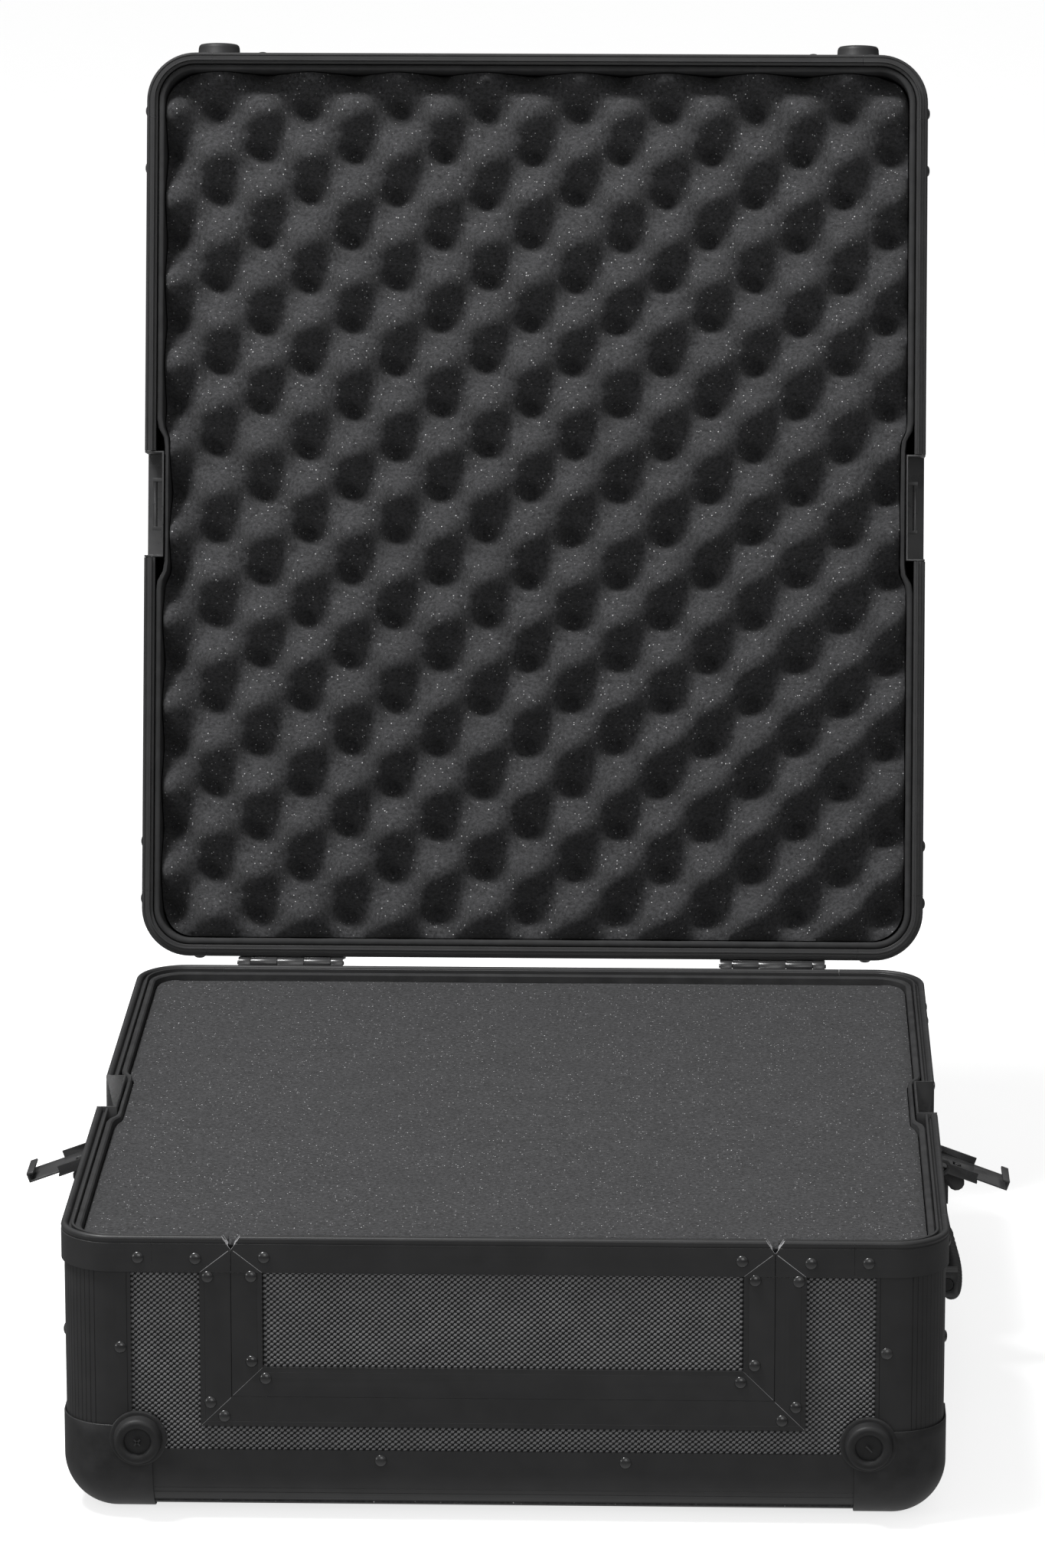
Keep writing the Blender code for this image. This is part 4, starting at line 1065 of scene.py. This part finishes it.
def handle_grip():
    """The carrying handle: its bent core is the CAD part, with a thicker ribbed sleeve on it."""
    set_look("handle_grip", GRIP)
    low, high = box_mm("handle_plate")
    steps, sides, end, ribs = 120, 24, 0.72, 20
    at = wall("right") @ Matrix.Translation((0, (low.z + high.z) / 2, GRIP_OUT))
    work = bmesh.new()
    rings = []
    for k in range(steps + 1):
        t = end * (2 * k / steps - 1)
        along = Vector((GRIP_HALF, 4 * GRIP_DROP * t ** 3, -2 * GRIP_BOW * t)).normalized()
        side = along.cross(Vector((0, 0, 1))).normalized()
        up = side.cross(along)
        middle = Vector((GRIP_HALF * t, -GRIP_DROP * (1 - t ** 4), GRIP_BOW * (1 - t * t)))
        radius = SLEEVE_R + RIB_H * max(0, math.sin(k / steps * 2 * math.pi * ribs)) ** 2
        radius -= SLEEVE_ROUND * max(0, (abs(t) / end - 0.97) / 0.03)
        rings.append([work.verts.new(at @ (middle + radius * (
            math.cos(2 * math.pi * j / sides) * side + math.sin(2 * math.pi * j / sides) * up)))
            for j in range(sides)])
    for ring, following in zip(rings, rings[1:]):
        for j in range(sides):
            m = (j + 1) % sides
            work.faces.new((ring[j], ring[m], following[m], following[j]))
    work.faces.new(rings[0])
    work.faces.new(rings[-1])
    place(work, "handle_sleeve", "handle", [GRIP], [], STILL, 50)


def all_rivets():
    """Rows of domed rivets; levels are measured down from the rim and up from the underside."""
    row, high, low_row = BASE_H - 11.3, BASE_H - 21.3, 32.3
    spots = []
    for sign in (-1, 1):
        spots += [("front", sign * 184, row, 0), ("front", sign * 155, row - 0.3, 0),
                  ("front", sign * 149, high, 0.3),
                  ("front", sign * 148, PANEL_LOW - 3.3, 0.3),
                  ("front", sign * 141, PANEL_LOW - 10.5, 0.3),
                  ("front", sign * 193.5, BASE_H - 59.3, EDGE_IN),
                  ("front", sign * 62, low_row, EDGE_IN + 0.05)]
    for side, half in (("rear", HALF_W), ("left", HALF_D), ("right", HALF_D)):
        for sign in (-1, 1):
            spots += [(side, sign * (half - 41), row, 0), (side, sign * (half - 70), row, 0),
                      (side, sign * (half - 31.5), BASE_H - 59.3, EDGE_IN),
                      (side, sign * half * 0.28, low_row, EDGE_IN + 0.05),
                      (side, sign * half * 0.66, low_row, EDGE_IN + 0.05)]
        if side != "rear":
            for sign in (-1, 1):
                spots += [(side, sign * (DISH_HALF + 6.2), BASE_H - 25.5, EDGE_IN),
                          (side, sign * (DISH_HALF + 6.2), DISH_LOW - 5.5, EDGE_IN),
                          (side, sign * (DISH_HALF + 30), row, 0)]
            spots.append((side, 0, DISH_LOW - 6.0, EDGE_IN))
    rivets("rivets_base", "base", spots)
    panel = []
    for sign in (-1, 1):
        panel += [("front", sign * 127, high + 0.4, 0.3), ("front", sign * 120.4, row + 0.5, 0),
                  ("front", sign * 127, PANEL_LOW + 18.7, 0.3),
                  ("front", sign * 120, PANEL_LOW + 9.7, 0.3)]
    rivets("rivets_panel", "front_panel", panel)
    cover = []
    middle = LID_PLANE + 12
    for side, half in (("front", HALF_W), ("rear", HALF_W), ("left", HALF_D), ("right", HALF_D)):
        for sign in (-1, 1):
            cover += [(side, sign * (half - 33), middle, 0), (side, sign * (half - 66), middle, 0)]
    rivets("rivets_lid", "lid", cover, LID)
    hinge_rivets = {"base": [], "lid": []}
    for sign in (-1, 1):
        for offset in (-20, 0, 20):
            x = -sign * HINGE_X + offset
            hinge_rivets["base"].append(("rear", x, BASE_H - 20, -1.5))
            hinge_rivets["lid"].append(("rear", x, LID_PLANE + 20, -1.5))
    rivets("hinge_rivets_lower", "base", hinge_rivets["base"])
    rivets("hinge_rivets_upper", "lid", hinge_rivets["lid"], LID)


# ---------------------------------------------------------------- stage, lights and camera

def area_light(name, location, target, size, power):
    data = bpy.data.lights.new(name, "AREA")
    data.energy = power
    data.size = size
    light = bpy.data.objects.new(name, data)
    light.location = location
    aim = Vector(target) - Vector(location)
    light.rotation_euler = aim.to_track_quat("-Z", "Y").to_euler()
    link(light)


def studio():
    """A pale floor and a soft sky; the floor neither lights the case nor shows in its gloss."""
    scene = bpy.context.scene
    scene.view_settings.view_transform = "Standard"
    world = bpy.data.worlds.new("studio")
    scene.world = world
    world.use_nodes = True
    tree = world.node_tree
    back = tree.nodes["Background"]
    source = tree.nodes.new("ShaderNodeTexCoord")
    split = tree.nodes.new("ShaderNodeSeparateXYZ")
    tree.links.new(source.outputs["Generated"], split.inputs["Vector"])
    level = spread(tree, split.outputs["Z"], 0.0, 1.0, -1.0, 1.0)
    ramp = tree.nodes.new("ShaderNodeValToRGB")
    first, last = ramp.color_ramp.elements
    first.color, last.color = (0.45, 0.45, 0.45, 1), (0.34, 0.34, 0.34, 1)
    for position, value in ((0.25, 0.30), (0.40, 0.10), (0.47, 0.06), (0.56, 0.12), (0.72, 0.24)):
        ramp.color_ramp.elements.new(position).color = (value, value, value, 1)
    tree.links.new(level, ramp.inputs["Fac"])
    tree.links.new(ramp.outputs["Color"], back.inputs["Color"])
    back.inputs["Strength"].default_value = 1.0
    bpy.ops.mesh.primitive_plane_add(size=80, location=(0, 10, -0.0002))
    floor = bpy.context.object
    floor.name = "floor"
    floor.visible_diffuse = False
    floor.visible_glossy = False
    paper, tree, shader = nodes_of("paper", (0.8, 0.8, 0.8), 0.95, 0.0, 0.1)
    fibre = noise_node(tree, coordinates(tree), 40.0, 3.0)
    tree.links.new(shades(tree, fibre, (0.79, 0.79, 0.79), (0.81, 0.81, 0.81)),
                   shader.inputs["Base Color"])
    shader.inputs["Emission Color"].default_value = (1, 1, 1, 1)
    shader.inputs["Emission Strength"].default_value = 0.74
    floor.data.materials.append(paper)
    area_light("key", (-0.95, -0.35, 2.75), (0, 0.2, 0.35), 0.7, 60)
    area_light("fill", (0.5, -3.2, 1.5), (0, 0, 0.2), 1.6, 12)
    area_light("side", (-2.6, -1.6, 0.7), (-0.2, -0.2, 0.1), 0.6, 7)


def camera():
    data = bpy.data.cameras.new("camera")
    data.lens = 160
    data.sensor_width = 36
    data.clip_start = 0.1
    data.clip_end = 100
    thing = bpy.data.objects.new("camera", data)
    forward = Vector((-0.02796, 0.9708, -0.2377)).normalized()
    up = Vector((-0.0065, 0.2384, 0.9711))
    right = forward.cross(up).normalized()
    up = right.cross(forward)
    turn = Matrix((right, up, -forward)).transposed().to_4x4()
    thing.matrix_world = Matrix.Translation((0.1064, -3.605, 1.2052)) @ turn
    link(thing)
    bpy.context.scene.camera = thing


# ---------------------------------------------------------------- all of it

def build():
    base_rims()
    opening_strips()
    mitre_lines()
    posts()
    edges()
    lid_edges()
    lid_rims()
    for side_x, side_y in CORNERS:
        name = corner_name(side_x, side_y)
        ball_corner(f"cap_base_{name}", f"base_ball_corner_{name}", side_x, side_y, 0, BALL_Z,
                    "base")
        ball_corner(f"cap_lid_{name}", f"lid_ball_corner_{name}", side_x, side_y, LID_TOP,
                    LID_BALL_Z, "lid", LID)
    feet()
    boards()
    foams()
    liners()
    all_hardware()
    handle_grip()
    all_rivets()
    studio()
    camera()


build()
